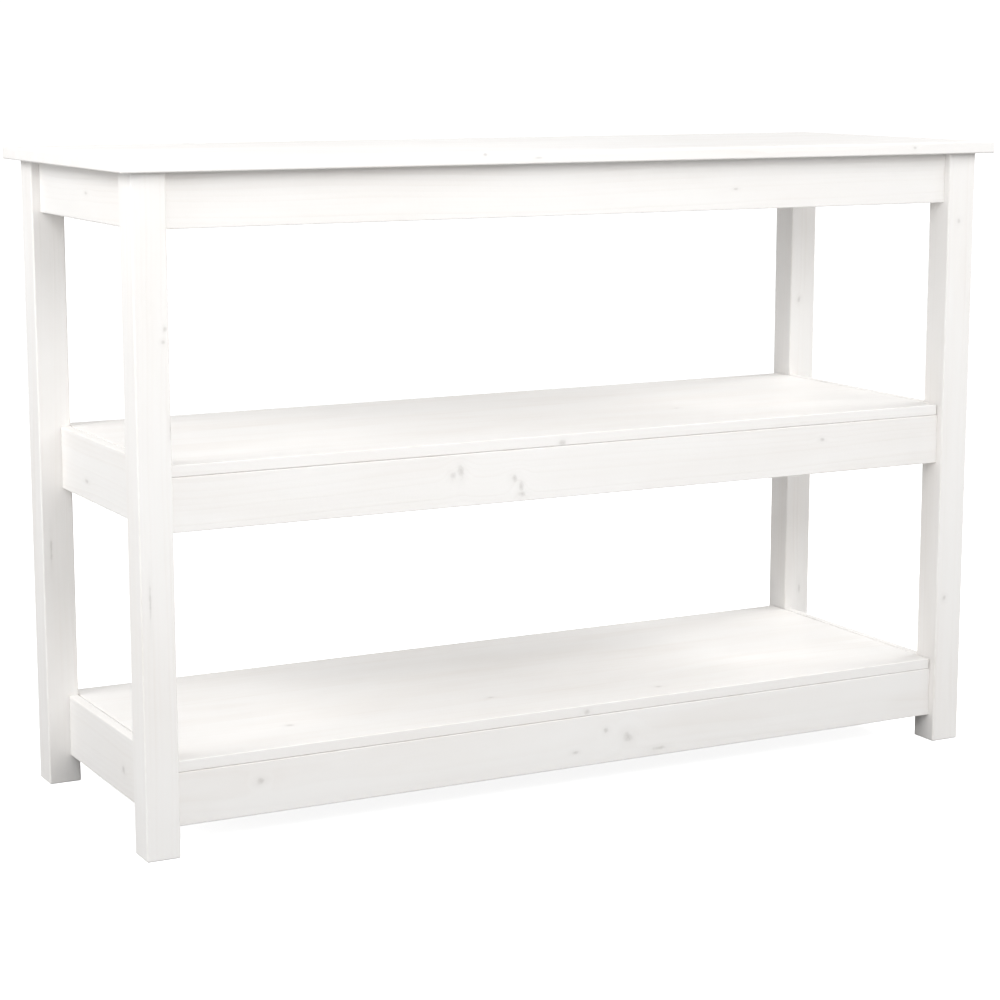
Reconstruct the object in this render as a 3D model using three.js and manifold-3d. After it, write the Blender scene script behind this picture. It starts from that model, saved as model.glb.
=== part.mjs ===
// Console table: a painted pine table with a top and two shelves on four square legs.
// Millimetres, +Z up. The origin is on the floor, under the middle of the tabletop.
// +X runs along the table's length and -Y is its front, so "left" is the -X end.
// Every frame (top, mid shelf, low shelf) is worked out from its seat height: the level of
// the long aprons' upper edges, on which the tabletop or the shelf board lies.
import * as THREE from "three";
import { mergeVertices } from "three/addons/utils/BufferGeometryUtils.js";
import Module from "manifold-3d";

// ---- Overall sizes ----
const TABLE_LENGTH = 1100;
const TABLE_DEPTH = 400;
const TABLE_HEIGHT = 740;
const MID_SHELF_HEIGHT = 422; // floor to the mid shelf's upper face
const LOW_SHELF_HEIGHT = 104; // floor to the low shelf's upper face

// ---- Timber ----
const TOP_THICKNESS = 14;
const TOP_OVERHANG = 16; // beyond the legs' outer faces, on all four sides
const SHELF_THICKNESS = 13;
const LEG_SIZE = 38; // square section
const APRON_HEIGHT = 59;
const APRON_THICKNESS = 18;
const APRON_SETBACK = 10; // from the legs' outer faces to the aprons' outer faces
const SIDE_RAIL_THICKNESS = 12; // shelf side rails, flush with the legs' inner faces
const CROSS_RAIL_HEIGHT = 40;
const CROSS_RAIL_THICKNESS = 18;
const EDGE_EASE = 1.5; // radius of the sanded long edges
const LEG_EDGE_EASE = 2.25; // radius of the legs' upright edges
const TOP_CORNER_RADIUS = 3; // in plan
const SHELF_CORNER_RADIUS = 2.25;

// ---- Joints ----
const TENON_THICKNESS = 9; // stub tenons on the aprons
const SIDE_TENON_THICKNESS = 6; // stub tenons on the thinner side rails
const TENON_SHOULDER = 8; // above and below a tenon
const BOLT_LANE = 17; // height kept free between an apron's twin tenons for the cam bolt
const MORTISE_WEB = 2.5; // timber left between a leg's two mortises
const HOUSING_DEPTH = 5; // how far a cross rail's end sits in a long apron

// ---- Clearances ----
const FIT_GAP = 0.3; // around every tenon, housed end, bolt and screw
const SHOULDER_GAP = 0.2; // paint line between a rail's shoulder and a leg
const SHELF_END_GAP = 1; // dark line between a shelf board's end and its side rail

// ---- Cam fittings (a bolt in the leg, drawn in by a disc in the apron) ----
const CAM_RADIUS = 7.2;
const CAM_SETBACK = 34; // from the apron's shoulder to the disc's centre
const CAM_BELOW_AXIS = 4.7; // how far the disc goes past the bolt's axis
const CAM_RECESS = 0.3; // the disc's face lies this far inside the apron's face
const BOLT_BITE = 11; // thread inside the leg
const BOLT_THREAD_RADIUS = 3;
const BOLT_SHANK_RADIUS = 3.5;
const BOLT_NECK_RADIUS = 2;
const BOLT_HEAD_RADIUS = 3.5;
const BOLT_HEAD_SLOPE = 1.5; // from the neck out to the head's rim
const BOLT_HEAD_RIM = 1.5;
const BOLT_HEAD_CROWN = 1;
const BOLT_SHANK_CHAMFER = 1; // where the shank meets the neck
const BOLT_POINT_RADIUS = 2.1;
const BOLT_POINT_LENGTH = 1.5;
const DRIVE_LENGTH = 7; // cross slot in the disc's face
const DRIVE_WIDTH = 1.4;
const DRIVE_DEPTH = 2;

// ---- Countersunk wood screws, driven upwards ----
const SCREW_LENGTH = 30;
const SCREW_BITE = 9; // thread inside the tabletop or shelf board
const SCREW_RADIUS = 2;
const SCREW_HEAD_RADIUS = 4;
const SCREW_HEAD_HEIGHT = 2.6;
const SCREW_POINT = 4;
const SCREW_INSET = 46; // from a side apron's shoulder to its screw
const CROSS_SCREW_INSET = 72; // from a long apron's inner face to a cross rail's screw

// ---- Worked out from the sizes above ----
const LEG_X = TABLE_LENGTH / 2 - TOP_OVERHANG - LEG_SIZE / 2;
const LEG_Y = TABLE_DEPTH / 2 - TOP_OVERHANG - LEG_SIZE / 2;
const INNER_X = LEG_X - LEG_SIZE / 2; // the legs' inner faces
const INNER_Y = LEG_Y - LEG_SIZE / 2;
const APRON_OFFSET = LEG_SIZE / 2 - APRON_SETBACK - APRON_THICKNESS / 2; // from the leg's centre
const APRON_X = LEG_X + APRON_OFFSET; // mid-planes of the aprons
const APRON_Y = LEG_Y + APRON_OFFSET;
const SIDE_RAIL_X = INNER_X + SIDE_RAIL_THICKNESS / 2;
const TENON_LENGTH = APRON_Y - TENON_THICKNESS / 2 - MORTISE_WEB - INNER_Y;
const TWIN_TENON_HEIGHT = (APRON_HEIGHT - 2 * TENON_SHOULDER - BOLT_LANE) / 2;
const LEG_HEIGHT = TABLE_HEIGHT - TOP_THICKNESS;
const FRAMES = [
  { name: "top", seat: LEG_HEIGHT, shelf: false },
  { name: "mid", seat: MID_SHELF_HEIGHT - SHELF_THICKNESS, shelf: true },
  { name: "low", seat: LOW_SHELF_HEIGHT - SHELF_THICKNESS, shelf: true },
];
const ENDS = [
  { name: "left", sign: -1 },
  { name: "right", sign: 1 },
];
const FACES = [
  { name: "front", sign: -1 },
  { name: "back", sign: 1 },
];
const PASS = 1; // a cutting tool runs this far past the face that it opens
const ARC_STEPS = 2; // facets in an eased edge
const BORE_SIDES = 10; // sides of small round bodies and holes; FIT_GAP covers their flats
const CAM_SIDES = 16;

const FINISHES = {
  paint: { color: 0xf3f1ec, roughness: 0.42, metalness: 0 },
  zinc: { color: 0xb9bcc0, roughness: 0.35, metalness: 1 },
};

// ---- Solids: join and cut closed geometries ----
const wasm = await Module();
wasm.setup();

function toSolid(geometry) {
  const bare = geometry.clone();
  bare.deleteAttribute("normal");
  bare.deleteAttribute("uv");
  const merged = mergeVertices(bare);
  return new wasm.Manifold(
    new wasm.Mesh({
      numProp: 3,
      vertProperties: new Float32Array(merged.attributes.position.array),
      triVerts: new Uint32Array(merged.index.array),
    }),
  );
}

function toGeometry(solid) {
  const mesh = solid.getMesh();
  const geometry = new THREE.BufferGeometry();
  geometry.setAttribute("position", new THREE.BufferAttribute(mesh.vertProperties, 3));
  geometry.setIndex(new THREE.BufferAttribute(mesh.triVerts, 1));
  geometry.computeVertexNormals();
  return geometry;
}

function shaped(stock, additions, cuts) {
  let solid = toSolid(stock);
  for (const piece of additions) solid = solid.add(toSolid(piece));
  for (const tool of cuts) solid = solid.subtract(toSolid(tool));
  return toGeometry(solid);
}

// ---- Building blocks, each in the frame of the piece that uses it ----
function box([x0, x1], [y0, y1], [z0, z1]) {
  const block = new THREE.BoxGeometry(x1 - x0, y1 - y0, z1 - z0);
  return block.translate((x0 + x1) / 2, (y0 + y1) / 2, (z0 + z1) / 2);
}

// A span that starts at `from` and goes `length` in the direction of `sign`, low end first.
function span(from, sign, length) {
  return sign > 0 ? [from, from + length] : [from - length, from];
}

function around(middle, width) {
  return [middle - width / 2, middle + width / 2];
}

// A round bar from `start` along one axis, "x", "y" or "z"; a negative length goes the other way.
function rod(axis, radius, start, length, sides = BORE_SIDES) {
  const bar = new THREE.CylinderGeometry(radius, radius, Math.abs(length), sides);
  if (axis === "x") bar.rotateZ(-Math.PI / 2);
  if (axis === "z") bar.rotateX(Math.PI / 2);
  const middle = new THREE.Vector3(...start);
  middle[axis] += length / 2;
  return bar.translate(middle.x, middle.y, middle.z);
}

function roundedRectangle(width, height, radius) {
  const x = width / 2;
  const y = height / 2;
  const corner = Math.PI / 2;
  const outline = new THREE.Shape();
  outline.absarc(x - radius, y - radius, radius, 0, corner);
  outline.absarc(-x + radius, y - radius, radius, corner, 2 * corner);
  outline.absarc(-x + radius, -y + radius, radius, 2 * corner, 3 * corner);
  outline.absarc(x - radius, -y + radius, radius, 3 * corner, 4 * corner);
  outline.closePath();
  return outline;
}

// A bar along X, centred, with eased long edges: `depth` in Y and `height` down from z = 0.
function barAlongX(length, depth, height) {
  const bar = new THREE.ExtrudeGeometry(roundedRectangle(depth, height, EDGE_EASE), {
    depth: length,
    bevelEnabled: false,
    curveSegments: ARC_STEPS,
  });
  const turn = new THREE.Matrix4().set(0, 0, 1, 0, 1, 0, 0, 0, 0, 1, 0, 0, 0, 0, 0, 1);
  return bar.applyMatrix4(turn).translate(-length / 2, 0, -height / 2);
}

// The same bar along Y, `thickness` in X.
function barAlongY(length, thickness, height) {
  return barAlongX(length, thickness, height).rotateZ(Math.PI / 2);
}

// A flat panel on z = 0, centred, with all its edges eased.
function panel(length, width, thickness, cornerRadius) {
  const sheet = new THREE.ExtrudeGeometry(roundedRectangle(length, width, cornerRadius), {
    depth: thickness - 2 * EDGE_EASE,
    bevelThickness: EDGE_EASE,
    bevelSize: EDGE_EASE,
    bevelOffset: -EDGE_EASE,
    bevelSegments: 1,
    curveSegments: ARC_STEPS,
  });
  return sheet.translate(0, 0, EDGE_EASE);
}

// A closed body turned about `axis`, from [radius, distance] pairs that begin and end on the axis.
function turned(profile, axis, sign = 1) {
  const outline = profile.map(([radius, along]) => new THREE.Vector2(radius, along));
  const body = new THREE.LatheGeometry(outline, BORE_SIDES);
  if (axis === "x") body.rotateZ((-sign * Math.PI) / 2);
  if (axis === "z") body.rotateX(Math.PI / 2);
  return body;
}

function piece(name, geometry, finish, place) {
  const mesh = new THREE.Mesh(geometry, new THREE.MeshStandardMaterial(FINISHES[finish]));
  mesh.name = name;
  mesh.position.set(...place);
  return mesh;
}

// ---- Joint shapes ----
// Where an apron's twin tenons lie below its upper edge, as [lowest, highest].
function twinTenons() {
  const upper = -TENON_SHOULDER;
  const lower = -APRON_HEIGHT + TENON_SHOULDER;
  return [
    [upper - TWIN_TENON_HEIGHT, upper],
    [lower, lower + TWIN_TENON_HEIGHT],
  ];
}

function grown([low, high], gap = FIT_GAP) {
  return [low - gap, high + gap];
}

// The side member of a frame: a top apron, or a shelf's taller and thinner side rail.
function sideMember(frame) {
  return frame.shelf
    ? { x: SIDE_RAIL_X, thickness: SIDE_RAIL_THICKNESS, tenon: SIDE_TENON_THICKNESS, rise: SHELF_THICKNESS }
    : { x: APRON_X, thickness: APRON_THICKNESS, tenon: TENON_THICKNESS, rise: 0 };
}

// Its tenon's height span, measured from the frame's seat.
function sideTenonSpan(side) {
  return [-APRON_HEIGHT + TENON_SHOULDER, side.rise - TENON_SHOULDER];
}

// A countersunk screw's way up through a rail whose upper edge is at z = 0.
function screwWay(x, y, railHeight) {
  const seat = SCREW_HEAD_HEIGHT + SCREW_BITE - SCREW_LENGTH + FIT_GAP;
  return [
    rod("z", SCREW_HEAD_RADIUS + FIT_GAP, [x, y, seat], -railHeight - seat - PASS),
    rod("z", SCREW_RADIUS + FIT_GAP, [x, y, PASS], seat - 2 * PASS),
  ];
}

// The hole that the same screw's thread takes in the board above, whose lower face is z = 0.
function screwHole(x, y) {
  return rod("z", SCREW_RADIUS + FIT_GAP, [x, y, -PASS], SCREW_BITE + FIT_GAP + PASS);
}

// ---- Pieces ----
// A leg hangs from its upper end, so that the end and the tabletop share one exact level.
function leg(end, face) {
  const stock = new THREE.ExtrudeGeometry(roundedRectangle(LEG_SIZE, LEG_SIZE, LEG_EDGE_EASE), {
    depth: LEG_HEIGHT - 2 * EDGE_EASE,
    bevelThickness: EDGE_EASE,
    bevelSize: EDGE_EASE,
    bevelOffset: -EDGE_EASE,
    bevelSegments: 1,
    curveSegments: ARC_STEPS,
  });
  stock.translate(0, 0, EDGE_EASE - LEG_HEIGHT);
  const inwardX = -end.sign;
  const inwardY = -face.sign;
  const innerX = (inwardX * LEG_SIZE) / 2;
  const innerY = (inwardY * LEG_SIZE) / 2;
  const apronY = face.sign * APRON_OFFSET;
  const cuts = [];
  for (const frame of FRAMES) {
    const level = frame.seat - LEG_HEIGHT;
    const side = sideMember(frame);
    const mortiseX = span(innerX - inwardX * (TENON_LENGTH + FIT_GAP), inwardX, TENON_LENGTH + PASS);
    const mortiseY = span(innerY - inwardY * (TENON_LENGTH + FIT_GAP), inwardY, TENON_LENGTH + PASS);
    for (const [low, high] of twinTenons()) {
      cuts.push(box(mortiseX, grown(around(apronY, TENON_THICKNESS)), grown([level + low, level + high])));
    }
    const sideX = end.sign * (side.x - LEG_X);
    const [low, high] = sideTenonSpan(side);
    cuts.push(box(grown(around(sideX, side.tenon)), mortiseY, grown([level + low, level + high])));
    const bore = BOLT_BITE + FIT_GAP + PASS;
    const mouth = [innerX + inwardX * PASS, apronY, level - APRON_HEIGHT / 2];
    cuts.push(rod("x", BOLT_THREAD_RADIUS + FIT_GAP, mouth, -inwardX * bore));
  }
  return shaped(stock, [], cuts);
}

// A long apron: z = 0 is its upper edge, and its cams open on the side that faces the table's middle.
function longApron(face) {
  const shoulder = INNER_X - SHOULDER_GAP;
  const inner = (-face.sign * APRON_THICKNESS) / 2;
  const outward = face.sign;
  const tenons = [];
  const cuts = [];
  for (const { sign } of ENDS) {
    for (const heights of twinTenons()) {
      const reach = span(sign * (shoulder - PASS), sign, TENON_LENGTH + PASS);
      tenons.push(box(reach, around(0, TENON_THICKNESS), heights));
    }
    const camX = sign * (shoulder - CAM_SETBACK);
    const middle = -APRON_HEIGHT / 2;
    const pocket = APRON_THICKNESS / 2 + CAM_BELOW_AXIS + FIT_GAP;
    const mouth = [camX, inner - outward * PASS, middle];
    cuts.push(rod("y", CAM_RADIUS + FIT_GAP, mouth, outward * (pocket + PASS), CAM_SIDES));
    const bore = BOLT_SHANK_RADIUS + FIT_GAP;
    cuts.push(rod("x", bore, [camX, 0, middle], sign * (CAM_SETBACK + PASS)));
  }
  const housing = span(inner - outward * PASS, outward, HOUSING_DEPTH + PASS);
  const housed = grown(around(0, CROSS_RAIL_THICKNESS));
  cuts.push(box(housed, housing, [-CROSS_RAIL_HEIGHT - FIT_GAP, PASS]));
  return shaped(barAlongX(2 * shoulder, APRON_THICKNESS, APRON_HEIGHT), tenons, cuts);
}

// A side apron or side rail: z = 0 is its upper edge.
function sidePiece(side) {
  const shoulder = INNER_Y - SHOULDER_GAP;
  const [low, high] = sideTenonSpan(side);
  const tenons = FACES.map(({ sign }) => {
    const reach = span(sign * (shoulder - PASS), sign, TENON_LENGTH + PASS);
    return box(around(0, side.tenon), reach, [low - side.rise, high - side.rise]);
  });
  const height = APRON_HEIGHT + side.rise;
  const ways = side.rise > 0 ? [] : sideScrews().flatMap((y) => screwWay(0, y, height));
  return shaped(barAlongY(2 * shoulder, side.thickness, height), tenons, ways);
}

function sideScrews() {
  const y = INNER_Y - SHOULDER_GAP - SCREW_INSET;
  return [-y, y];
}

// A cross rail runs from front to back under the middle of the tabletop or of a shelf board.
function crossRail() {
  const reach = APRON_Y - APRON_THICKNESS / 2 + HOUSING_DEPTH - FIT_GAP;
  const ways = crossScrews().flatMap((y) => screwWay(0, y, CROSS_RAIL_HEIGHT));
  return shaped(barAlongY(2 * reach, CROSS_RAIL_THICKNESS, CROSS_RAIL_HEIGHT), [], ways);
}

function crossScrews() {
  const y = APRON_Y - APRON_THICKNESS / 2 - CROSS_SCREW_INSET;
  return [-y, y];
}

function tabletop() {
  const holes = crossScrews().map((y) => screwHole(0, y));
  for (const { sign } of ENDS) {
    holes.push(...sideScrews().map((y) => screwHole(sign * APRON_X, y)));
  }
  return shaped(panel(TABLE_LENGTH, TABLE_DEPTH, TOP_THICKNESS, TOP_CORNER_RADIUS), [], holes);
}

// A shelf board lies between its side rails and ends flush with the long aprons' outer faces.
function shelfBoard() {
  const length = 2 * (INNER_X - SHELF_END_GAP);
  const width = 2 * APRON_Y + APRON_THICKNESS;
  const holes = crossScrews().map((y) => screwHole(0, y));
  return shaped(panel(length, width, SHELF_THICKNESS, SHELF_CORNER_RADIUS), [], holes);
}

// The bolt's origin is where it enters the leg; it points along `sign` into the leg.
function camBolt(sign) {
  const neckStart = CAM_RADIUS - CAM_SETBACK;
  const rimEnd = -CAM_SETBACK - BOLT_HEAD_RIM;
  const profile = [
    [0, BOLT_BITE],
    [BOLT_POINT_RADIUS, BOLT_BITE],
    [BOLT_THREAD_RADIUS, BOLT_BITE - BOLT_POINT_LENGTH],
    [BOLT_THREAD_RADIUS, -FIT_GAP],
    [BOLT_SHANK_RADIUS, -FIT_GAP],
    [BOLT_SHANK_RADIUS, neckStart + BOLT_SHANK_CHAMFER],
    [BOLT_NECK_RADIUS, neckStart],
    [BOLT_NECK_RADIUS, -CAM_SETBACK + BOLT_HEAD_SLOPE],
    [BOLT_HEAD_RADIUS, -CAM_SETBACK],
    [BOLT_HEAD_RADIUS, rimEnd],
    [0, rimEnd - BOLT_HEAD_CROWN],
  ];
  return turned(profile.reverse(), "x", sign);
}

// The disc's origin is the bolt's axis at the disc's centre. Its slot is open towards `sign` in X,
// and its cross drive is on the face towards `-outward` in Y.
function camDisc(sign, outward) {
  const face = -outward * (APRON_THICKNESS / 2 - CAM_RECESS);
  const height = APRON_THICKNESS / 2 - CAM_RECESS + CAM_BELOW_AXIS;
  const disc = rod("y", CAM_RADIUS, [0, face, 0], outward * height, CAM_SIDES);
  const headRoom = BOLT_HEAD_RADIUS + 2 * FIT_GAP;
  const slot = 2 * (BOLT_NECK_RADIUS + FIT_GAP);
  const past = CAM_BELOW_AXIS + PASS;
  const entry = span((-outward * slot) / 2, outward, slot / 2 + past);
  const drive = span(face - outward * PASS, outward, DRIVE_DEPTH + PASS);
  const cuts = [
    rod("y", headRoom, [0, -outward * headRoom, 0], outward * (headRoom + past)),
    box(span(0, sign, CAM_RADIUS + PASS), entry, around(0, slot)),
    box(around(0, DRIVE_LENGTH), drive, around(0, DRIVE_WIDTH)),
    box(around(0, DRIVE_WIDTH), drive, around(0, DRIVE_LENGTH)),
  ];
  return shaped(disc, [], cuts);
}

// A screw's origin is where it enters the board above; its head is below.
function woodScrew() {
  const head = SCREW_BITE - SCREW_LENGTH;
  const profile = [
    [0, head],
    [SCREW_HEAD_RADIUS, head],
    [SCREW_RADIUS, head + SCREW_HEAD_HEIGHT],
    [SCREW_RADIUS, SCREW_BITE - SCREW_POINT],
    [0, SCREW_BITE],
  ];
  return turned(profile, "z");
}

// ---- Assembly ----
const table = new THREE.Group();
table.add(piece("tabletop", tabletop(), "paint", [0, 0, LEG_HEIGHT]));

for (const face of FACES) {
  for (const end of ENDS) {
    const place = [end.sign * LEG_X, face.sign * LEG_Y, LEG_HEIGHT];
    table.add(piece(`leg_${face.name}_${end.name}`, leg(end, face), "paint", place));
  }
}

for (const frame of FRAMES) {
  const level = new THREE.Group();
  level.position.z = frame.seat;
  const side = sideMember(frame);
  const sideName = frame.shelf ? "side_rail" : "apron";
  for (const face of FACES) {
    const name = `${frame.name}_apron_${face.name}`;
    level.add(piece(name, longApron(face), "paint", [0, face.sign * APRON_Y, 0]));
    for (const end of ENDS) {
      const corner = `${frame.name}_${face.name}_${end.name}`;
      const middle = [face.sign * APRON_Y, -APRON_HEIGHT / 2];
      const camX = end.sign * (INNER_X - SHOULDER_GAP - CAM_SETBACK);
      level.add(piece(`cam_bolt_${corner}`, camBolt(end.sign), "zinc", [end.sign * INNER_X, ...middle]));
      level.add(piece(`cam_disc_${corner}`, camDisc(end.sign, face.sign), "zinc", [camX, ...middle]));
    }
  }
  for (const end of ENDS) {
    const place = [end.sign * side.x, 0, side.rise];
    level.add(piece(`${frame.name}_${sideName}_${end.name}`, sidePiece(side), "paint", place));
  }
  level.add(piece(`${frame.name}_cross_rail`, crossRail(), "paint", [0, 0, 0]));
  if (frame.shelf) level.add(piece(`${frame.name}_shelf_board`, shelfBoard(), "paint", [0, 0, 0]));
  const screws = crossScrews().map((y, i) => [FACES[i].name, 0, y]);
  if (!frame.shelf) {
    for (const end of ENDS) {
      const x = end.sign * side.x;
      screws.push(...sideScrews().map((y, i) => [`${FACES[i].name}_${end.name}`, x, y]));
    }
  }
  for (const [name, x, y] of screws) {
    level.add(piece(`screw_${frame.name}_${name}`, woodScrew(), "zinc", [x, y, 0]));
  }
  table.add(level);
}

export default table;
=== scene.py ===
# %% [markdown]
# # A painted pine console table
# The real table is softwood all through: four square legs, aprons and rails tenoned into them,
# a glued-up top, two shelf boards, and zinc-plated cam fittings and screws that pull it together.
# The workshop's model of every part is already packed, so this lesson begins by loading it. Each
# part keeps its own size and place, and the pieces made here take their measures from it.

import math

import bpy
from mathutils import Matrix, Vector


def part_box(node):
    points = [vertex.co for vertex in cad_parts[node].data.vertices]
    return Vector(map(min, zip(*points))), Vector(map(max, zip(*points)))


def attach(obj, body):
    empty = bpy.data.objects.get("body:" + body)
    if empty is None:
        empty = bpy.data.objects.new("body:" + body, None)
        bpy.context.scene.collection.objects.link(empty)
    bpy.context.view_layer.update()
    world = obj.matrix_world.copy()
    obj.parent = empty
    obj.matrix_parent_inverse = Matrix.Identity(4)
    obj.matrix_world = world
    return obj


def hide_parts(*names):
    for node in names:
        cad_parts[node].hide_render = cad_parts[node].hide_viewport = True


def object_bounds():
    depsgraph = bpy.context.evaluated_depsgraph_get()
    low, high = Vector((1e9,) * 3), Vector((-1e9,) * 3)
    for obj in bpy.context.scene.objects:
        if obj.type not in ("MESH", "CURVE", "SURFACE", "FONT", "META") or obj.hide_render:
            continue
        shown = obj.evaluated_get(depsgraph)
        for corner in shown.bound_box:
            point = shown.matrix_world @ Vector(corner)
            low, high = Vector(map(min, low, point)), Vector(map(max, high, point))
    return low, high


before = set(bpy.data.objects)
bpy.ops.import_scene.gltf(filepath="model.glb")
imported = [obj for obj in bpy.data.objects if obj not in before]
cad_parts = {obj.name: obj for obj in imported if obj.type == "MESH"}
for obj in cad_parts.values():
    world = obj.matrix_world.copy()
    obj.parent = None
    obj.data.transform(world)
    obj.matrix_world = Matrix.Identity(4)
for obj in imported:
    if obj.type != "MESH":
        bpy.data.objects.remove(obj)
packed_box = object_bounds()
MM = 0.001
print("packed parts:", len(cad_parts))
print("packed box, mm:", [round(side / MM, 1) for side in packed_box[1] - packed_box[0]])

# %% [markdown]
# ## The eye
# A long table looks calm through a long lens from well back. The camera stands to the left of the
# front, a little above the tabletop, and looks slightly down, so that the top and both shelves
# show their upper faces as thin bands. Everything is in metres from the floor's centre point.

# %% Set up the camera
EYE_BEARING = math.radians(28.05)  # how far round to the left of the table's front
EYE_DISTANCE = 2.987
EYE_HEIGHT = 0.849
VIEW_HEADING = math.radians(27.79)
VIEW_TILT = math.radians(10.09)  # downwards
LENS_LENGTH = 91.3
SENSOR_WIDTH = 36.0


def new_object(name, data):
    made = bpy.data.objects.new(name, data)
    bpy.context.scene.collection.objects.link(made)
    return made


def make_camera():
    camera = new_object("camera", bpy.data.cameras.new("camera"))
    camera.location = (
        -EYE_DISTANCE * math.sin(EYE_BEARING),
        -EYE_DISTANCE * math.cos(EYE_BEARING),
        EYE_HEIGHT,
    )
    camera.rotation_euler = (math.pi / 2 - VIEW_TILT, 0, -VIEW_HEADING)
    camera.data.lens = LENS_LENGTH
    camera.data.sensor_width = SENSOR_WIDTH
    bpy.context.scene.camera = camera
    return camera


print("camera stands at", [round(c, 3) for c in make_camera().location])

# %% [markdown]
# ## Node trees in a few words
# Every material and every Geometry Nodes tree below is a small network. These helpers keep the
# making of one readable: `add` makes a node and feeds its sockets, `calc` and `reckon` are one sum
# on numbers or on vectors, and `plus`, `minus` and `times` are the sums that come up most.

# %% Helpers for node trees
ONE_NUMBER = ("LENGTH", "DOT_PRODUCT")


def connect(tree, socket, value):
    if isinstance(value, bpy.types.NodeSocket):
        tree.links.new(value, socket)
    elif value is not None:
        socket.default_value = value


def add(tree, kind, feeds=(), **settings):
    node = tree.nodes.new(kind)
    for name, value in settings.items():
        setattr(node, name, value)
    for key, value in feeds.items() if isinstance(feeds, dict) else enumerate(feeds):
        connect(tree, node.inputs[key], value)
    return node


def calc(tree, sum_kind, *values):
    return add(tree, "ShaderNodeMath", values, operation=sum_kind).outputs[0]


def plus(tree, first, second):
    return calc(tree, "ADD", first, second)


def minus(tree, first, second):
    return calc(tree, "SUBTRACT", first, second)


def times(tree, first, second):
    return calc(tree, "MULTIPLY", first, second)


def weighed(tree, parts):
    """The sum of the parts, each a value and its weight."""
    total = 0.0
    for value, weight in parts:
        total = calc(tree, "MULTIPLY_ADD", value, weight, total)
    return total


def reckon(tree, sum_kind, *values):
    node = add(tree, "ShaderNodeVectorMath", values, operation=sum_kind)
    return node.outputs["Value" if sum_kind in ONE_NUMBER else "Vector"]


def apart(tree, vector):
    return add(tree, "ShaderNodeSeparateXYZ", [vector]).outputs[0:3]


def together(tree, x, y, z):
    return add(tree, "ShaderNodeCombineXYZ", [x, y, z]).outputs[0]


print("sums on vectors that give one number:", ONE_NUMBER)

# %% [markdown]
# ## Ramps, noise and groups
# `ramp` turns one value smoothly into another, as where an edge fades out. `noise` gives cloudy
# values, stretched to suit grain or brush marks. `new_tree` makes a group whose inputs and outputs
# have names, so that each material or modifier can set values of its own.

# %% Helpers for ramps, noise and groups
SOCKETS = {
    "number": "NodeSocketFloat",
    "count": "NodeSocketInt",
    "vector": "NodeSocketVector",
    "object": "NodeSocketObject",
    "material": "NodeSocketMaterial",
    "geometry": "NodeSocketGeometry",
}
MOST_OF_NOISE = (0.3, 0.7)  # nearly all of a noise texture's values lie between these


def ramp(tree, value, start, end, low=0.0, high=1.0):
    """A smooth step: `low` at `start`, `high` at `end`, and held beyond them."""
    feeds = {0: value, 1: start, 2: end, 3: low, 4: high}
    return add(tree, "ShaderNodeMapRange", feeds, interpolation_type="SMOOTHSTEP").outputs[0]


def noise(tree, vector, scale, detail=2.0):
    """Cloudy noise; `scale` gives the clouds per metre along each axis."""
    stretched = reckon(tree, "MULTIPLY", vector, scale)
    feeds = {"Vector": stretched, "Scale": 1.0, "Detail": detail}
    return add(tree, "ShaderNodeTexNoise", feeds)


def new_tree(name, kind, inputs, outputs):
    """`inputs` and `outputs` list the labels of each sort of socket."""
    tree = bpy.data.node_groups.new(name, kind)
    for way, sockets in (("INPUT", inputs), ("OUTPUT", outputs)):
        for sort, labels in sockets.items():
            for label in labels:
                tree.interface.new_socket(label, in_out=way, socket_type=SOCKETS[sort])
    given = tree.nodes.new("NodeGroupInput").outputs
    made = tree.nodes.new("NodeGroupOutput").inputs
    return tree, given, made


print("kinds of socket:", ", ".join(SOCKETS))

# %% [markdown]
# ## Growth rings
# A softwood log is a stack of cones: each year adds a pale soft ring and a thin dark hard one. A
# board is a slice through them, so rings are made here in three dimensions, as a distance from
# the log's heart, and any face that is cut shows the right figure: long lines on a face along the
# grain, arcs on an end. Each board carries an attribute called `wood`, its own coordinates as
# (along, across, through) in metres. `Push` lets a knot bend the rings round itself.

# %% The growth rings group
DRIFT_GRAIN = (1.7, 9.0, 9.0)  # clouds per metre along, across and through the wood
FIBRE_GRAIN = (7.0, 420.0, 420.0)
PATCH_GRAIN = (5.0, 26.0, 26.0)
LATE_WOOD_GROWS = (0.3, 0.88)  # shares of a year
LATE_WOOD_STOPS = (0.9, 1.0)
YEAR_LOTS = (0.2, 1.0)  # random lots drawn by the weakest and the strongest year
YEAR_STRENGTHS = (0.15, 1.3)
MIDDLE_GREY = (0.5, 0.5, 0.5)
CROSS_GRAIN = (0.0, 1.0, 1.0)


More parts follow.
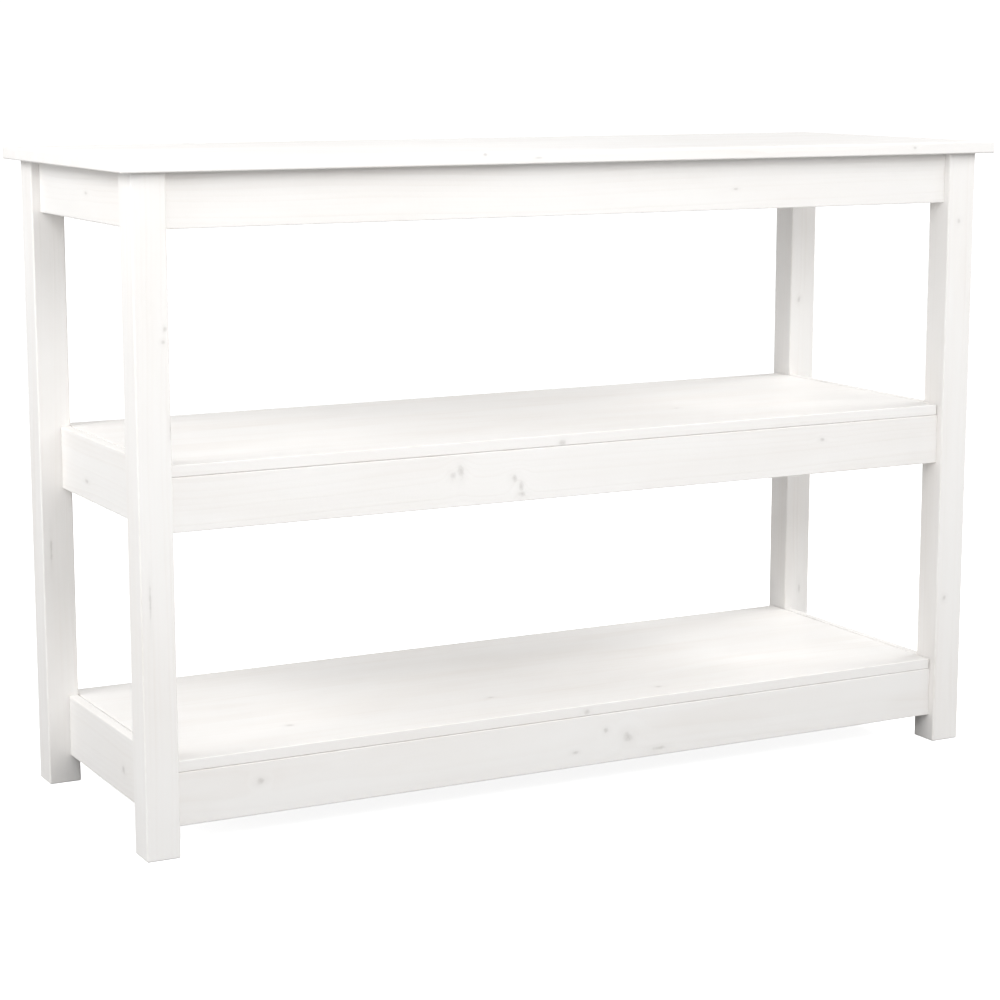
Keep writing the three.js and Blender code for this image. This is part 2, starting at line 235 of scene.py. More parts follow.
def make_growth_rings():
    tree, given, made = new_tree(
        "growth rings",
        "ShaderNodeTree",
        {"vector": ["Wood"], "number": ["Push", "Ring width", "Wander"]},
        {"number": ["Late wood", "Fibre", "Tone"]},
    )
    drift = noise(tree, given["Wood"], DRIFT_GRAIN).outputs["Color"]
    centred = reckon(tree, "SUBTRACT", drift, MIDDLE_GREY)
    feeds = {0: centred, "Scale": given["Wander"]}
    shift = add(tree, "ShaderNodeVectorMath", feeds, operation="SCALE").outputs[0]
    bent = reckon(tree, "ADD", given["Wood"], shift)
    from_heart = reckon(tree, "LENGTH", reckon(tree, "MULTIPLY", bent, CROSS_GRAIN))
    pushed = plus(tree, from_heart, given["Push"])
    years = calc(tree, "DIVIDE", pushed, given["Ring width"])
    share = calc(tree, "FRACT", years)
    year = calc(tree, "FLOOR", years)
    lot = add(tree, "ShaderNodeTexWhiteNoise", {"W": year}, noise_dimensions="1D")
    rise = ramp(tree, share, *LATE_WOOD_GROWS)
    fall = ramp(tree, share, *LATE_WOOD_STOPS, 1.0, 0.0)
    ring = times(tree, rise, fall)
    uneven = ramp(tree, lot.outputs["Value"], *YEAR_LOTS, *YEAR_STRENGTHS)
    connect(tree, made["Late wood"], times(tree, ring, uneven))
    connect(tree, made["Fibre"], noise(tree, given["Wood"], FIBRE_GRAIN, detail=3.0).outputs[0])
    patches = noise(tree, given["Wood"], PATCH_GRAIN, detail=3.0).outputs[0]
    connect(tree, made["Tone"], ramp(tree, patches, *MOST_OF_NOISE))
    return tree


growth_rings = make_growth_rings()
print("growth rings:", len(growth_rings.nodes), "nodes")

# %% [markdown]
# ## Glued staves
# A wide panel would cup if it were one board, so the top and the shelves are glued up from narrow
# staves, each from another part of the log. The group numbers the staves across the panel and
# gives every one its own heart: a place beside and below it, picked from its number, so that the
# figure changes at each glue line. A leg or rail is one stave wide and gets just one heart.

# %% The glued staves group
LOG_LENGTH = 5.0  # a stave comes from anywhere along it
HEART_BESIDE = 0.055
HEART_BELOW = (0.024, 0.075)
GLUE_LINE = 0.9 * MM


def make_glued_staves():
    tree, given, made = new_tree(
        "glued staves",
        "ShaderNodeTree",
        {"vector": ["Wood"], "number": ["Stave width", "Seed"]},
        {"vector": ["Wood"], "number": ["Joint"]},
    )
    along, across, through = apart(tree, given["Wood"])
    count = plus(tree, calc(tree, "DIVIDE", across, given["Stave width"]), 0.5)
    number = calc(tree, "FLOOR", count)
    middle = times(tree, number, given["Stave width"])
    key = plus(tree, number, given["Seed"])
    pick = add(tree, "ShaderNodeTexWhiteNoise", {"W": key}, noise_dimensions="1D")
    pick_along, pick_across, pick_through = apart(tree, pick.outputs["Color"])
    new_along = plus(tree, along, times(tree, pick_along, LOG_LENGTH))
    beside = ramp(tree, pick_across, 0.0, 1.0, -HEART_BESIDE, HEART_BESIDE)
    below = ramp(tree, pick_through, 0.0, 1.0, *HEART_BELOW)
    new_across = plus(tree, minus(tree, across, middle), beside)
    new_through = plus(tree, through, below)
    connect(tree, made["Wood"], together(tree, new_along, new_across, new_through))
    off_middle = calc(tree, "ABSOLUTE", minus(tree, calc(tree, "FRACT", count), 0.5))
    to_joint = times(tree, minus(tree, 0.5, off_middle), given["Stave width"])
    connect(tree, made["Joint"], ramp(tree, to_joint, 0.0, GLUE_LINE, 1.0, 0.0))
    return tree


glued_staves = make_glued_staves()
print("glued staves:", len(glued_staves.nodes), "nodes")

# %% [markdown]
# ## Knots
# A knot is a branch that the trunk grew round. It has a dark heart with a few rings of its own and
# a soft halo, and the board's rings flow past it. Resin makes it show through white paint as a
# grey-brown shadow. The group measures how far a point is from the knot's centre, with each axis
# stretched, so that the branch can run right through a board and its face can be a long oval.

# %% The knot group
RAGGED_GRAIN = (140.0, 140.0, 140.0)
RAGGED_NOISE = (0.2, 0.8)
RAGGED_BY = 0.3  # of the knot's size
OWN_RINGS = 7.0
FAINTEST_RING = 0.8  # of the heart's darkness
HEART_FADES = (0.1, 1.25)  # in knot sizes from the centre
HALO_FADES = (0.7, 3.0)
PUSH_FADES = -0.11  # how fast its push on the rings dies away
PUSH_BY = 1.3  # of the knot's size


def make_knot():
    tree, given, made = new_tree(
        "knot",
        "ShaderNodeTree",
        {"vector": ["Position", "Centre", "Stretch"], "number": ["Size"]},
        {"number": ["Heart", "Halo", "Push"]},
    )
    from_centre = reckon(tree, "SUBTRACT", given["Position"], given["Centre"])
    length = reckon(tree, "LENGTH", reckon(tree, "MULTIPLY", from_centre, given["Stretch"]))
    ragged = noise(tree, given["Position"], RAGGED_GRAIN).outputs[0]
    wobble = ramp(tree, ragged, *RAGGED_NOISE, -RAGGED_BY, RAGGED_BY)
    reach = plus(tree, calc(tree, "DIVIDE", length, given["Size"]), wobble)
    disc = ramp(tree, reach, *HEART_FADES, 1.0, 0.0)
    own_rings = calc(tree, "ABSOLUTE", calc(tree, "SINE", times(tree, reach, OWN_RINGS)))
    mottled = ramp(tree, own_rings, 0.0, 1.0, FAINTEST_RING, 1.0)
    connect(tree, made["Heart"], times(tree, disc, mottled))
    connect(tree, made["Halo"], ramp(tree, reach, *HALO_FADES, 1.0, 0.0))
    squared = times(tree, reach, reach)
    bell = calc(tree, "EXPONENT", times(tree, squared, PUSH_FADES))
    most = times(tree, given["Size"], PUSH_BY)
    connect(tree, made["Push"], times(tree, bell, most))
    return tree


knot_group = make_knot()
print("knot:", len(knot_group.nodes), "nodes")

# %% [markdown]
# ## Thin edges
# Paint pulls away from sharp arrises, so a trace of warm wood shows there, in patches where hands
# and packing have rubbed. The group finds the arrises of a board from its two corners: on the
# surface one distance to a face is nil, and the next smallest is the distance to the nearest
# arris.

# %% The thin arris group
RUBBED_GRAIN = (46.0, 46.0, 46.0)
RUBBED_PATCHES = (0.42, 0.66)
ARRIS_FADES = (0.35, 1.0)  # shares of the rubbed width


def make_thin_arris():
    tree, given, made = new_tree(
        "thin arris",
        "ShaderNodeTree",
        {"vector": ["Position", "Low corner", "High corner"], "number": ["Width"]},
        {"number": ["Rubbed"]},
    )
    above = reckon(tree, "SUBTRACT", given["Position"], given["Low corner"])
    below = reckon(tree, "SUBTRACT", given["High corner"], given["Position"])
    x, y, z = apart(tree, reckon(tree, "MINIMUM", above, below))
    smallest = calc(tree, "MINIMUM", x, calc(tree, "MINIMUM", y, z))
    largest = calc(tree, "MAXIMUM", x, calc(tree, "MAXIMUM", y, z))
    total = plus(tree, x, plus(tree, y, z))
    to_arris = minus(tree, minus(tree, total, smallest), largest)
    share = calc(tree, "DIVIDE", to_arris, given["Width"])
    edge = ramp(tree, share, *ARRIS_FADES, 1.0, 0.0)
    patches = noise(tree, given["Position"], RUBBED_GRAIN, detail=4.0).outputs[0]
    connect(tree, made["Rubbed"], times(tree, edge, ramp(tree, patches, *RUBBED_PATCHES)))
    return tree


thin_arris = make_thin_arris()
print("thin arris:", len(thin_arris.nodes), "nodes")

# %% [markdown]
# ## The paint film
# The paint is thin, white and satin. Faint brush lines and orange peel break up its shine, and it
# lies thicker in some places than in others, which `Cover` tells.

# %% The paint film group
BRUSH_GRAIN = (14.0, 700.0, 700.0)
PEEL_GRAIN = (260.0, 260.0, 260.0)
CLOUD_GRAIN = (5.0, 16.0, 16.0)
BRUSH_HEIGHT = 0.04 * MM
PEEL_HEIGHT = 0.05 * MM
PAINT_ROUGHNESS = (0.46, 0.58)
BRUSH_ROUGHNESS = 0.08
COVER_CLOUDS = (0.25, 0.75)


def make_paint_film():
    tree, given, made = new_tree(
        "paint film",
        "ShaderNodeTree",
        {"vector": ["Wood"]},
        {"number": ["Height", "Roughness", "Cover"]},
    )
    brush = noise(tree, given["Wood"], BRUSH_GRAIN).outputs[0]
    peel = noise(tree, given["Wood"], PEEL_GRAIN).outputs[0]
    cloud = noise(tree, given["Wood"], CLOUD_GRAIN, detail=3.0).outputs[0]
    lines = times(tree, brush, BRUSH_HEIGHT)
    dimples = times(tree, peel, PEEL_HEIGHT)
    connect(tree, made["Height"], plus(tree, lines, dimples))
    streaky = times(tree, minus(tree, brush, 0.5), BRUSH_ROUGHNESS)
    dull = ramp(tree, cloud, *MOST_OF_NOISE, *PAINT_ROUGHNESS)
    connect(tree, made["Roughness"], plus(tree, dull, streaky))
    connect(tree, made["Cover"], ramp(tree, cloud, *COVER_CLOUDS))
    return tree


paint_film = make_paint_film()
print("paint film:", len(paint_film.nodes), "nodes")

# %% [markdown]
# ## Painted pine
# Now the finish itself. The white coat is a little see-through, so the material starts from the
# paint's colour and lets warm wood through where the paint is thin: a trace along the hard rings,
# more on rubbed arrises, and a grey stain over knots. There is relief too, since hard rings stand
# proud after sanding.

# %% How much shows through the paint
PAINT = (0.90, 0.888, 0.872, 1.0)
WOOD_THROUGH_PAINT = (0.66, 0.575, 0.50, 1.0)
KNOT_THROUGH_PAINT = (0.33, 0.305, 0.28, 1.0)
RING_SHOW = 0.048  # how far the hard rings show through
FIBRE_SHOW = 0.03
TONE_SHOW = 0.09
JOINT_SHOW = 0.05
KNOT_SHOW = 0.29
HALO_SHOW = 0.05
RUBBED_SHOW = 0.16
COVER_SHOWS = (0.55, 1.25)  # how much of the figure a thick and a thin coat let through
RING_RELIEF = 0.05 * MM
FIBRE_RELIEF = 0.06 * MM
KNOT_DIP = 0.12 * MM
JOINT_DIP = 0.06 * MM
print("the paint lets through up to", RUBBED_SHOW, "of the wood and", KNOT_SHOW, "of a knot")

# %% [markdown]
# ## The finish of one board
# Each board gets a material of its own, with its own seed, knots and corners, from the same
# groups. The groups only hand over masks and values. The shader stays in the material, and `coat`
# makes it from a colour, a roughness and a relief.

# %% The painted pine finish
RUBBED_WIDTH = 1.8 * MM
RING_WIDTH = 5.6 * MM
RING_WANDER = 0.032
ONE_BOARD = 0.5  # a stave this wide means that a piece is a single board
PANEL_STAVE = 0.089


def use_group(tree, group, feeds):
    node = tree.nodes.new("ShaderNodeGroup")
    node.node_tree = group
    for name, value in feeds.items():
        connect(tree, node.inputs[name], value)
    return node.outputs


def blend_colour(tree, share, first, second):
    feeds = {0: share, 6: first, 7: second}
    return add(tree, "ShaderNodeMix", feeds, data_type="RGBA").outputs[2]


def empty_tree(owner):
    """A material's or a sky's own node tree, cleared for use."""
    owner.use_nodes = True
    owner.node_tree.nodes.clear()
    return owner.node_tree


def coat(tree, colour, roughness, height, metallic=0.0):
    bump = add(tree, "ShaderNodeBump", {"Strength": 1.0, "Distance": 1.0, "Height": height})
    feeds = {"Base Color": colour, "Roughness": roughness, "Metallic": metallic}
    shader = add(tree, "ShaderNodeBsdfPrincipled", feeds)
    connect(tree, shader.inputs["Normal"], bump.outputs[0])
    add(tree, "ShaderNodeOutputMaterial", [shader.outputs[0]])


def painted_pine(name, low, high, seed, knots=(), stave_width=ONE_BOARD):
    material = bpy.data.materials.new(f"painted pine, {name}")
    tree = empty_tree(material)
    position = add(tree, "ShaderNodeTexCoord").outputs["Object"]
    wood = add(tree, "ShaderNodeAttribute", attribute_name="wood").outputs["Vector"]
    staves = use_group(tree, glued_staves, {"Wood": wood, "Stave width": stave_width, "Seed": seed})
    push, heart, halo = 0.0, 0.0, 0.0
    for centre, stretch, size in knots:
        feeds = {"Position": position, "Centre": centre, "Stretch": stretch, "Size": size}
        one = use_group(tree, knot_group, feeds)
        push = plus(tree, push, one["Push"])
        heart = calc(tree, "MAXIMUM", heart, one["Heart"])
        halo = calc(tree, "MAXIMUM", halo, one["Halo"])
    figure = {"Wood": staves["Wood"], "Push": push, "Ring width": RING_WIDTH, "Wander": RING_WANDER}
    rings = use_group(tree, growth_rings, figure)
    corners = {"Position": position, "Low corner": low, "High corner": high, "Width": RUBBED_WIDTH}
    arris = use_group(tree, thin_arris, corners)
    film = use_group(tree, paint_film, {"Wood": staves["Wood"]})

    cover = ramp(tree, film["Cover"], 0.0, 1.0, *COVER_SHOWS)
    figured = [
        (rings["Late wood"], RING_SHOW),
        (rings["Fibre"], FIBRE_SHOW),
        (rings["Tone"], TONE_SHOW),
        (staves["Joint"], JOINT_SHOW),
    ]
    show = times(tree, weighed(tree, figured), cover)
    show = plus(tree, show, times(tree, arris["Rubbed"], RUBBED_SHOW))
    colour = blend_colour(tree, show, PAINT, WOOD_THROUGH_PAINT)
    stain = weighed(tree, [(heart, KNOT_SHOW), (halo, HALO_SHOW)])
    colour = blend_colour(tree, stain, colour, KNOT_THROUGH_PAINT)
    raised = [
        (rings["Late wood"], RING_RELIEF),
        (rings["Fibre"], FIBRE_RELIEF),
        (heart, -KNOT_DIP),
        (staves["Joint"], -JOINT_DIP),
    ]
    relief = plus(tree, film["Height"], weighed(tree, raised))
    coat(tree, colour, film["Roughness"], relief)
    return material


print("growth rings are about", RING_WIDTH / MM, "mm apart")

# %% [markdown]
# ## Zinc-plated steel
# The fittings are plated: bright, slightly mottled, and dulled in fine random scratches from the
# tumbling barrel. It is a metal, so its colour goes to the reflection. The mottle varies both the
# colour and the roughness.

# %% The zinc finish
ZINC_BRIGHT = (0.62, 0.63, 0.65, 1.0)
ZINC_DULL = (0.42, 0.43, 0.44, 1.0)
MOTTLE_GRAIN = (330.0, 330.0, 330.0)
SCRATCH_GRAIN = (3500.0, 900.0, 2100.0)
SCRATCH_DEPTH = 0.012 * MM
BOTH_NOISES = (0.7, 1.3)  # two noises added together lie mostly between these
ZINC_ROUGHNESS = (0.24, 0.42)


def make_plating():
    tree, given, made = new_tree(
        "plating",
        "ShaderNodeTree",
        {"vector": ["Position"]},
        {"number": ["Mottle", "Roughness", "Height"]},
    )
    cloud = noise(tree, given["Position"], MOTTLE_GRAIN, detail=4.0).outputs[0]
    scratch = noise(tree, given["Position"], SCRATCH_GRAIN).outputs[0]
    dull = ramp(tree, plus(tree, cloud, scratch), *BOTH_NOISES, *ZINC_ROUGHNESS)
    connect(tree, made["Mottle"], ramp(tree, cloud, *MOST_OF_NOISE))
    connect(tree, made["Roughness"], dull)
    connect(tree, made["Height"], times(tree, scratch, SCRATCH_DEPTH))
    return tree


plating = make_plating()


def zinc_steel():
    material = bpy.data.materials.new("zinc-plated steel")
    tree = empty_tree(material)
    position = add(tree, "ShaderNodeTexCoord").outputs["Object"]
    plate = use_group(tree, plating, {"Position": position})
    colour = blend_colour(tree, plate["Mottle"], ZINC_DULL, ZINC_BRIGHT)
    coat(tree, colour, plate["Roughness"], plate["Height"], metallic=1.0)
    return material


ZINC = zinc_steel()
print("plating:", len(plating.nodes), "nodes")

# %% [markdown]
# ## The studio
# The table stands on a pale floor under a plain white sky. Both are white to the eye but dimmer as
# lamps, which the Light Path node tells apart: a floor that threw all its light back would wash
# out the lower shelf.

# %% Make the sky and the floor
SKY_LIGHT = 0.465
SKY_SEEN = 1.05
FLOOR_SIZE = 60.0
FLOOR_LEVEL = -0.2 * MM  # so that the feet and the floor never share a plane
FLOOR_SEEN = (0.93, 0.93, 0.93, 1.0)
FLOOR_GLOW = 0.86  # added for the eye only
FLOOR_RETURNS = (0.36, 0.36, 0.36, 1.0)  # what it throws back at the table
FLOOR_ROUGHNESS = 0.9
WHITE = (1.0, 1.0, 1.0, 1.0)


def for_the_eye(tree, lamp, seen, output):
    """The eye sees one shader, and the rest of the scene is lit by the other."""
    eye = add(tree, "ShaderNodeLightPath").outputs["Is Camera Ray"]
    either = add(tree, "ShaderNodeMixShader", [eye, lamp.outputs[0], seen.outputs[0]])
    add(tree, output, [either.outputs[0]])


def make_sky():
    world = bpy.data.worlds.new("sky")
    bpy.context.scene.world = world
    tree = empty_tree(world)
    lamp = add(tree, "ShaderNodeBackground", {"Color": WHITE, "Strength": SKY_LIGHT})
    seen = add(tree, "ShaderNodeBackground", {"Color": WHITE, "Strength": SKY_SEEN})
    for_the_eye(tree, lamp, seen, "ShaderNodeOutputWorld")


def make_floor():
    half = FLOOR_SIZE / 2
    sheet = bpy.data.meshes.new("floor")
    corners = [(-half, -half), (half, -half), (half, half), (-half, half)]
    sheet.from_pydata([(x, y, FLOOR_LEVEL) for x, y in corners], [], [(0, 1, 2, 3)])
    floor = new_object("floor", sheet)
    pale = bpy.data.materials.new("studio floor")
    tree = empty_tree(pale)
    matt = {"Base Color": FLOOR_RETURNS, "Roughness": FLOOR_ROUGHNESS}
    glowing = {
        "Base Color": FLOOR_SEEN,
        "Roughness": FLOOR_ROUGHNESS,
        "Emission Color": WHITE,
        "Emission Strength": FLOOR_GLOW,
    }
    lamp = add(tree, "ShaderNodeBsdfPrincipled", matt)
    seen = add(tree, "ShaderNodeBsdfPrincipled", glowing)
    for_the_eye(tree, lamp, seen, "ShaderNodeOutputMaterial")
    sheet.materials.append(pale)


make_sky()
make_floor()
bpy.context.scene.view_settings.view_transform = "Standard"
print("the sky lights with", SKY_LIGHT, "and is seen at", SKY_SEEN)

# %% [markdown]
# ## Softboxes
# A white object on white needs light that differs by direction and by height, or its edges
# vanish. So the softboxes hang higher than the tabletop, near enough for the light to fall off
# towards the floor, and the sky only fills.

# %% Hang the softboxes
SOFTBOXES = {  # place, width and depth in metres, watts
    "front": ((-0.2, -1.6, 1.15), (1.6, 0.5), 13.0),
    "front_left": ((-1.6, -1.5, 1.8), (1.4, 0.8), 10.7),
    "front_right": ((1.7, -1.7, 1.8), (1.4, 0.8), 14.8),
    "far_left": ((-3.0, -0.2, 1.2), (1.8, 1.4), 20.0),
    "near_left": ((-1.6, 0.0, 1.3), (0.9, 0.5), 7.8),
    "right": ((2.2, 0.0, 1.6), (1.4, 0.8), 28.9),
    "back": ((0.4, 2.2, 1.8), (2.0, 0.8), 9.8),
}


def make_softbox(name, place, size, watts):
    light = bpy.data.lights.new(name, "AREA")
    light.shape = "RECTANGLE"
    light.size, light.size_y = size
    light.energy = watts
    box = new_object(name, light)
    box.location = place
    box.visible_camera = False
    to_table = (packed_box[0] + packed_box[1]) / 2 - box.location
    box.rotation_euler = to_table.to_track_quat("-Z", "Y").to_euler()


for box_name, (place, size, watts) in SOFTBOXES.items():
    make_softbox(box_name, place, size, watts)
print("softboxes:", list(SOFTBOXES))

# %% [markdown]
# ## How every tree ends
# Two Geometry Nodes trees make all the pieces, one for timber and one for fittings, and they end
# alike. Gentle edges are shaded smooth and sharp ones are kept, copies are made real, because the
# export drops the others, and the faces get their finish.

# %% The end of a tree
SHARP_ANGLE = math.radians(35)


def finish_piece(tree, geometry, finish, result):
    """Smooths the gentle edges, keeps the hard ones, and ends as every tree here ends."""
    soft = add(tree, "GeometryNodeSetShadeSmooth", {"Geometry": geometry}, domain="FACE")
    angle = add(tree, "GeometryNodeInputMeshEdgeAngle").outputs["Unsigned Angle"]
    gentle = calc(tree, "LESS_THAN", angle, SHARP_ANGLE)
    feeds = {"Geometry": soft.outputs[0], "Shade Smooth": gentle}
    creased = add(tree, "GeometryNodeSetShadeSmooth", feeds, domain="EDGE")
    real = add(tree, "GeometryNodeRealizeInstances", [creased.outputs[0]])
    coated = add(tree, "GeometryNodeSetMaterial", {"Geometry": real.outputs[0], "Material": finish})
    tree.links.new(coated.outputs[0], result)


print("edges sharper than", round(math.degrees(SHARP_ANGLE)), "degrees stay hard")

# %% [markdown]
# ## The rule for a board
# Every timber here is the same idea: a sawn block with its arrises eased by sandpaper. So one
# Geometry Nodes tree makes them all. It starts from a cube with a few rows of points on each face,
# and sends each point to the place that the rule gives: the block's core, which is smaller than
# the block by the ease, plus one ease in the direction that the point faces. An ease of nil along
# one axis leaves those ends square, as a saw leaves them. Then tenons are joined on and mortises
# cut out. Last, each point writes down its place in the board's own directions, which the growth
# rings read.

# %% The eased board tree
def make_eased_board():
    inputs = {
        "vector": ["Low corner", "High corner", "Ease", "Along", "Across", "Through"],
        "count": ["Arris steps"],
        "object": ["Tenons", "Cuts"],
        "material": ["Finish"],
    }
    tree, given, made = new_tree("eased board", "GeometryNodeTree", inputs, {"geometry": ["Board"]})
    rows = calc(tree, "MULTIPLY_ADD", given["Arris steps"], 2.0, 2.0)
    cube = add(tree, "GeometryNodeMeshCube", [(2.0, 2.0, 2.0), rows, rows, rows])
    point = add(tree, "GeometryNodeInputPosition").outputs[0]
    side = reckon(tree, "SIGN", point)
    gaps = minus(tree, rows, 1.0)
    twice = minus(tree, rows, 2.0)
    stepped = reckon(tree, "MULTIPLY", reckon(tree, "ABSOLUTE", point), gaps)
    share = reckon(tree, "DIVIDE", reckon(tree, "SUBTRACT", stepped, (1.0, 1.0, 1.0)), twice)
    slope = reckon(tree, "TANGENT", reckon(tree, "MULTIPLY", share, (math.pi / 4,) * 3))
    facing = reckon(tree, "NORMALIZE", reckon(tree, "MULTIPLY", slope, side))
    size = reckon(tree, "SUBTRACT", given["High corner"], given["Low corner"])
    half = reckon(tree, "MULTIPLY", size, (0.5, 0.5, 0.5))
    middle = reckon(tree, "ADD", given["Low corner"], half)
    core = reckon(tree, "MULTIPLY", reckon(tree, "SUBTRACT", half, given["Ease"]), side)
    skin = reckon(tree, "ADD", core, reckon(tree, "MULTIPLY", facing, given["Ease"]))
    placed = reckon(tree, "ADD", middle, skin)
    block = add(tree, "GeometryNodeSetPosition", {"Geometry": cube.outputs[0], "Position": placed})

    tenons = add(tree, "GeometryNodeObjectInfo", [given["Tenons"]]).outputs["Geometry"]
    cuts = add(tree, "GeometryNodeObjectInfo", [given["Cuts"]]).outputs["Geometry"]
    joined = add(tree, "GeometryNodeMeshBoolean", operation="UNION", solver="MANIFOLD")
    tree.links.new(block.outputs[0], joined.inputs["Mesh 2"])
    tree.links.new(tenons, joined.inputs["Mesh 2"])
    carved = add(tree, "GeometryNodeMeshBoolean", operation="DIFFERENCE", solver="MANIFOLD")
    tree.links.new(joined.outputs[0], carved.inputs["Mesh 1"])
    tree.links.new(cuts, carved.inputs["Mesh 2"])

    from_middle = reckon(tree, "SUBTRACT", add(tree, "GeometryNodeInputPosition").outputs[0], middle)
    own = [reckon(tree, "DOT_PRODUCT", from_middle, given[way]) for way in ("Along", "Across", "Through")]
    feeds = {"Geometry": carved.outputs[0], "Name": "wood", "Value": together(tree, *own)}
    marked = add(tree, "GeometryNodeStoreNamedAttribute", feeds, data_type="FLOAT_VECTOR")
    finish_piece(tree, marked.outputs[0], given["Finish"], made["Board"])
    return tree


eased_board = make_eased_board()
print("eased board:", len(eased_board.nodes), "nodes")

# %% [markdown]
# ## Workshop helpers
# Tenons, mortises and bores are plain blocks and rods, and they are only tools: they go into a
# board's tree, and are thrown away when the board is cut.

# %% Helpers that make tools
ROD_SIDES = 40


def block(first, second):
    low = [min(pair) for pair in zip(first, second)]
    high = [max(pair) for pair in zip(first, second)]
    xs, ys, zs = zip(low, high)
    points = [(x, y, z) for x in xs for y in ys for z in zs]
    faces = [(0, 1, 3, 2), (4, 6, 7, 5), (0, 4, 5, 1), (2, 3, 7, 6), (0, 2, 6, 4), (1, 5, 7, 3)]
    return points, faces


def rod(start, end, radius, end_radius=None, sides=ROD_SIDES):
    """A round bar, or a cone where `end_radius` differs."""
    start, end = Vector(start), Vector(end)
    turn = (end - start).to_track_quat("Z", "Y")
    points = []
    if end_radius is None:
        end_radius = radius
    for centre, reach in ((start, radius), (end, end_radius)):
        for i in range(sides):
            angle = math.tau * i / sides
            points.append(centre + turn @ Vector((reach * math.cos(angle), reach * math.sin(angle), 0)))
    faces = [(i, (i + 1) % sides, sides + (i + 1) % sides, sides + i) for i in range(sides)]
    return points, faces + [tuple(range(sides))[::-1], tuple(range(sides, 2 * sides))]


def plain_object(name, shapes):
    points, faces = [], []
    for shape_points, shape_faces in shapes:
        faces += [[corner + len(points) for corner in face] for face in shape_faces]
        points += shape_points
    mesh = bpy.data.meshes.new(name)
    mesh.from_pydata([tuple(p) for p in points], [], faces)
    return new_object(name, mesh)


def discard(*objects):
    for used in objects:
        bpy.data.objects.remove(used)


print("a tool rod has", ROD_SIDES, "sides")

# %% [markdown]
# ## Running a tree
# `run_tree` puts a tree on an object as a modifier, sets its named inputs, weights the shading so
# that flat faces stay flat next to their arrises, and keeps the result as a plain mesh.

# %% Helpers that run a tree
def run_tree(piece, tree, values):
    shaping = piece.modifiers.new(tree.name, "NODES")
    shaping.node_group = tree
    for socket in tree.interface.items_tree:
        if socket.in_out == "INPUT" and socket.name in values:
            shaping[socket.identifier] = values[socket.name]
    shading = piece.modifiers.new("even shading", "WEIGHTED_NORMAL")
    shading.keep_sharp = True
    depsgraph = bpy.context.evaluated_depsgraph_get()
    kept = bpy.data.meshes.new_from_object(
        piece.evaluated_get(depsgraph), preserve_all_data_layers=True, depsgraph=depsgraph
    )
    piece.modifiers.clear()
    piece.data = kept
    kept.name = piece.name
    return piece


def report_piece(piece):
    triangles = sum(len(face.vertices) - 2 for face in piece.data.polygons)
    size = [round(side / MM, 1) for side in piece.dimensions]
    print(f"{piece.name}: {triangles} triangles, {size} mm")


print("trees to run:", [tree.name for tree in bpy.data.node_groups if tree.type == "GEOMETRY"])

# %% [markdown]
# ## One call for one timber
# `timber` gathers what a piece of wood is: the imported part that it stands for, its body without the
# tenons, which way its grain runs, how far its arrises are eased, what is joined on and what is
# cut out. It makes the material and the mesh, hangs the piece on the root body, and hides the
# imported part.

# %% The timber function
ARRIS_STEPS = 3  # rows from a face to the middle of its arris
AXES = {"x": (1.0, 0.0, 0.0), "y": (0.0, 1.0, 0.0), "z": (0.0, 0.0, 1.0)}
BRANCH_STRETCH = 0.12  # along a branch a knot goes this much more slowly from heart to rim
next_seed = iter(range(11, 9999, 17))


def timber(node, low, high, grain, ease, tenons=(), cuts=(), knots=(), stave_width=ONE_BOARD):
    """`grain` names the axes along, across and through the wood, such as "xzy" for a front apron."""
    finish = painted_pine(node, low, high, float(next(next_seed)), knots, stave_width)
    tools = [plain_object("tenons", tenons), plain_object("cuts", cuts)]
    piece = plain_object(f"{node}_pine", [block(low, high)])
    values = {
        "Low corner": tuple(low),
        "High corner": tuple(high),
        "Ease": tuple(ease),
        "Arris steps": ARRIS_STEPS,
        "Along": AXES[grain[0]],
        "Across": AXES[grain[1]],
        "Through": AXES[grain[2]],
        "Tenons": tools[0],
        "Cuts": tools[1],
        "Finish": finish,
    }
    run_tree(piece, eased_board, values)
    discard(*tools)
    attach(piece, "root")
    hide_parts(node)
    report_piece(piece)
    return piece


def spots(low, high, along, marks):
    """Knots from rows of (place as shares of the board's box, the axis that the branch runs along,
    radius in mm, how many times as wide it is along the grain)."""
    knots = []
    for shares, branch, radius, long in marks:
        centre = tuple(a + (b - a) * share for a, b, share in zip(low, high, shares))
        stretch = {"x": 1.0, "y": 1.0, "z": 1.0, along: 1 / long, branch: BRANCH_STRETCH}
        knots.append((centre, tuple(stretch[name] for name in "xyz"), radius * MM))
    return knots


print("rows of points from a face to the middle of its arris:", ARRIS_STEPS)

# %% [markdown]
# ## What the joints measure
# The aprons have two stub tenons at each end with a lane between them for the cam bolt, and the
# side pieces have one. A mortise is larger than its tenon by the glue gap. The three frames lie at
# the levels of the long aprons' upper edges.

# %% Joint sizes and levels
TENON_THICKNESS = 9 * MM
SIDE_TENON_THICKNESS = {"top": 9 * MM, "mid": 6 * MM, "low": 6 * MM}
TENON_SHOULDER = 8 * MM
BOLT_LANE = 17 * MM
BOLT_BORE = 3.8 * MM  # in an apron, round the bolt's shank
LEG_BORE = 3.3 * MM
LEG_BORE_DEPTH = 11.3 * MM
FIT_GAP = 0.3 * MM
SHOULDER_GAP = 0.2 * MM
OVERRUN = 1 * MM  # a cutting tool starts this far outside the wood
FRAMES = ("top", "mid", "low")
ENDS = {"left": -1, "right": 1}
FACES = {"front": -1, "back": 1}
SIDE_PIECE = {"top": "apron", "mid": "side_rail", "low": "side_rail"}
JOINTS = [(name, face, end) for name in FRAMES for face in FACES for end in ENDS]

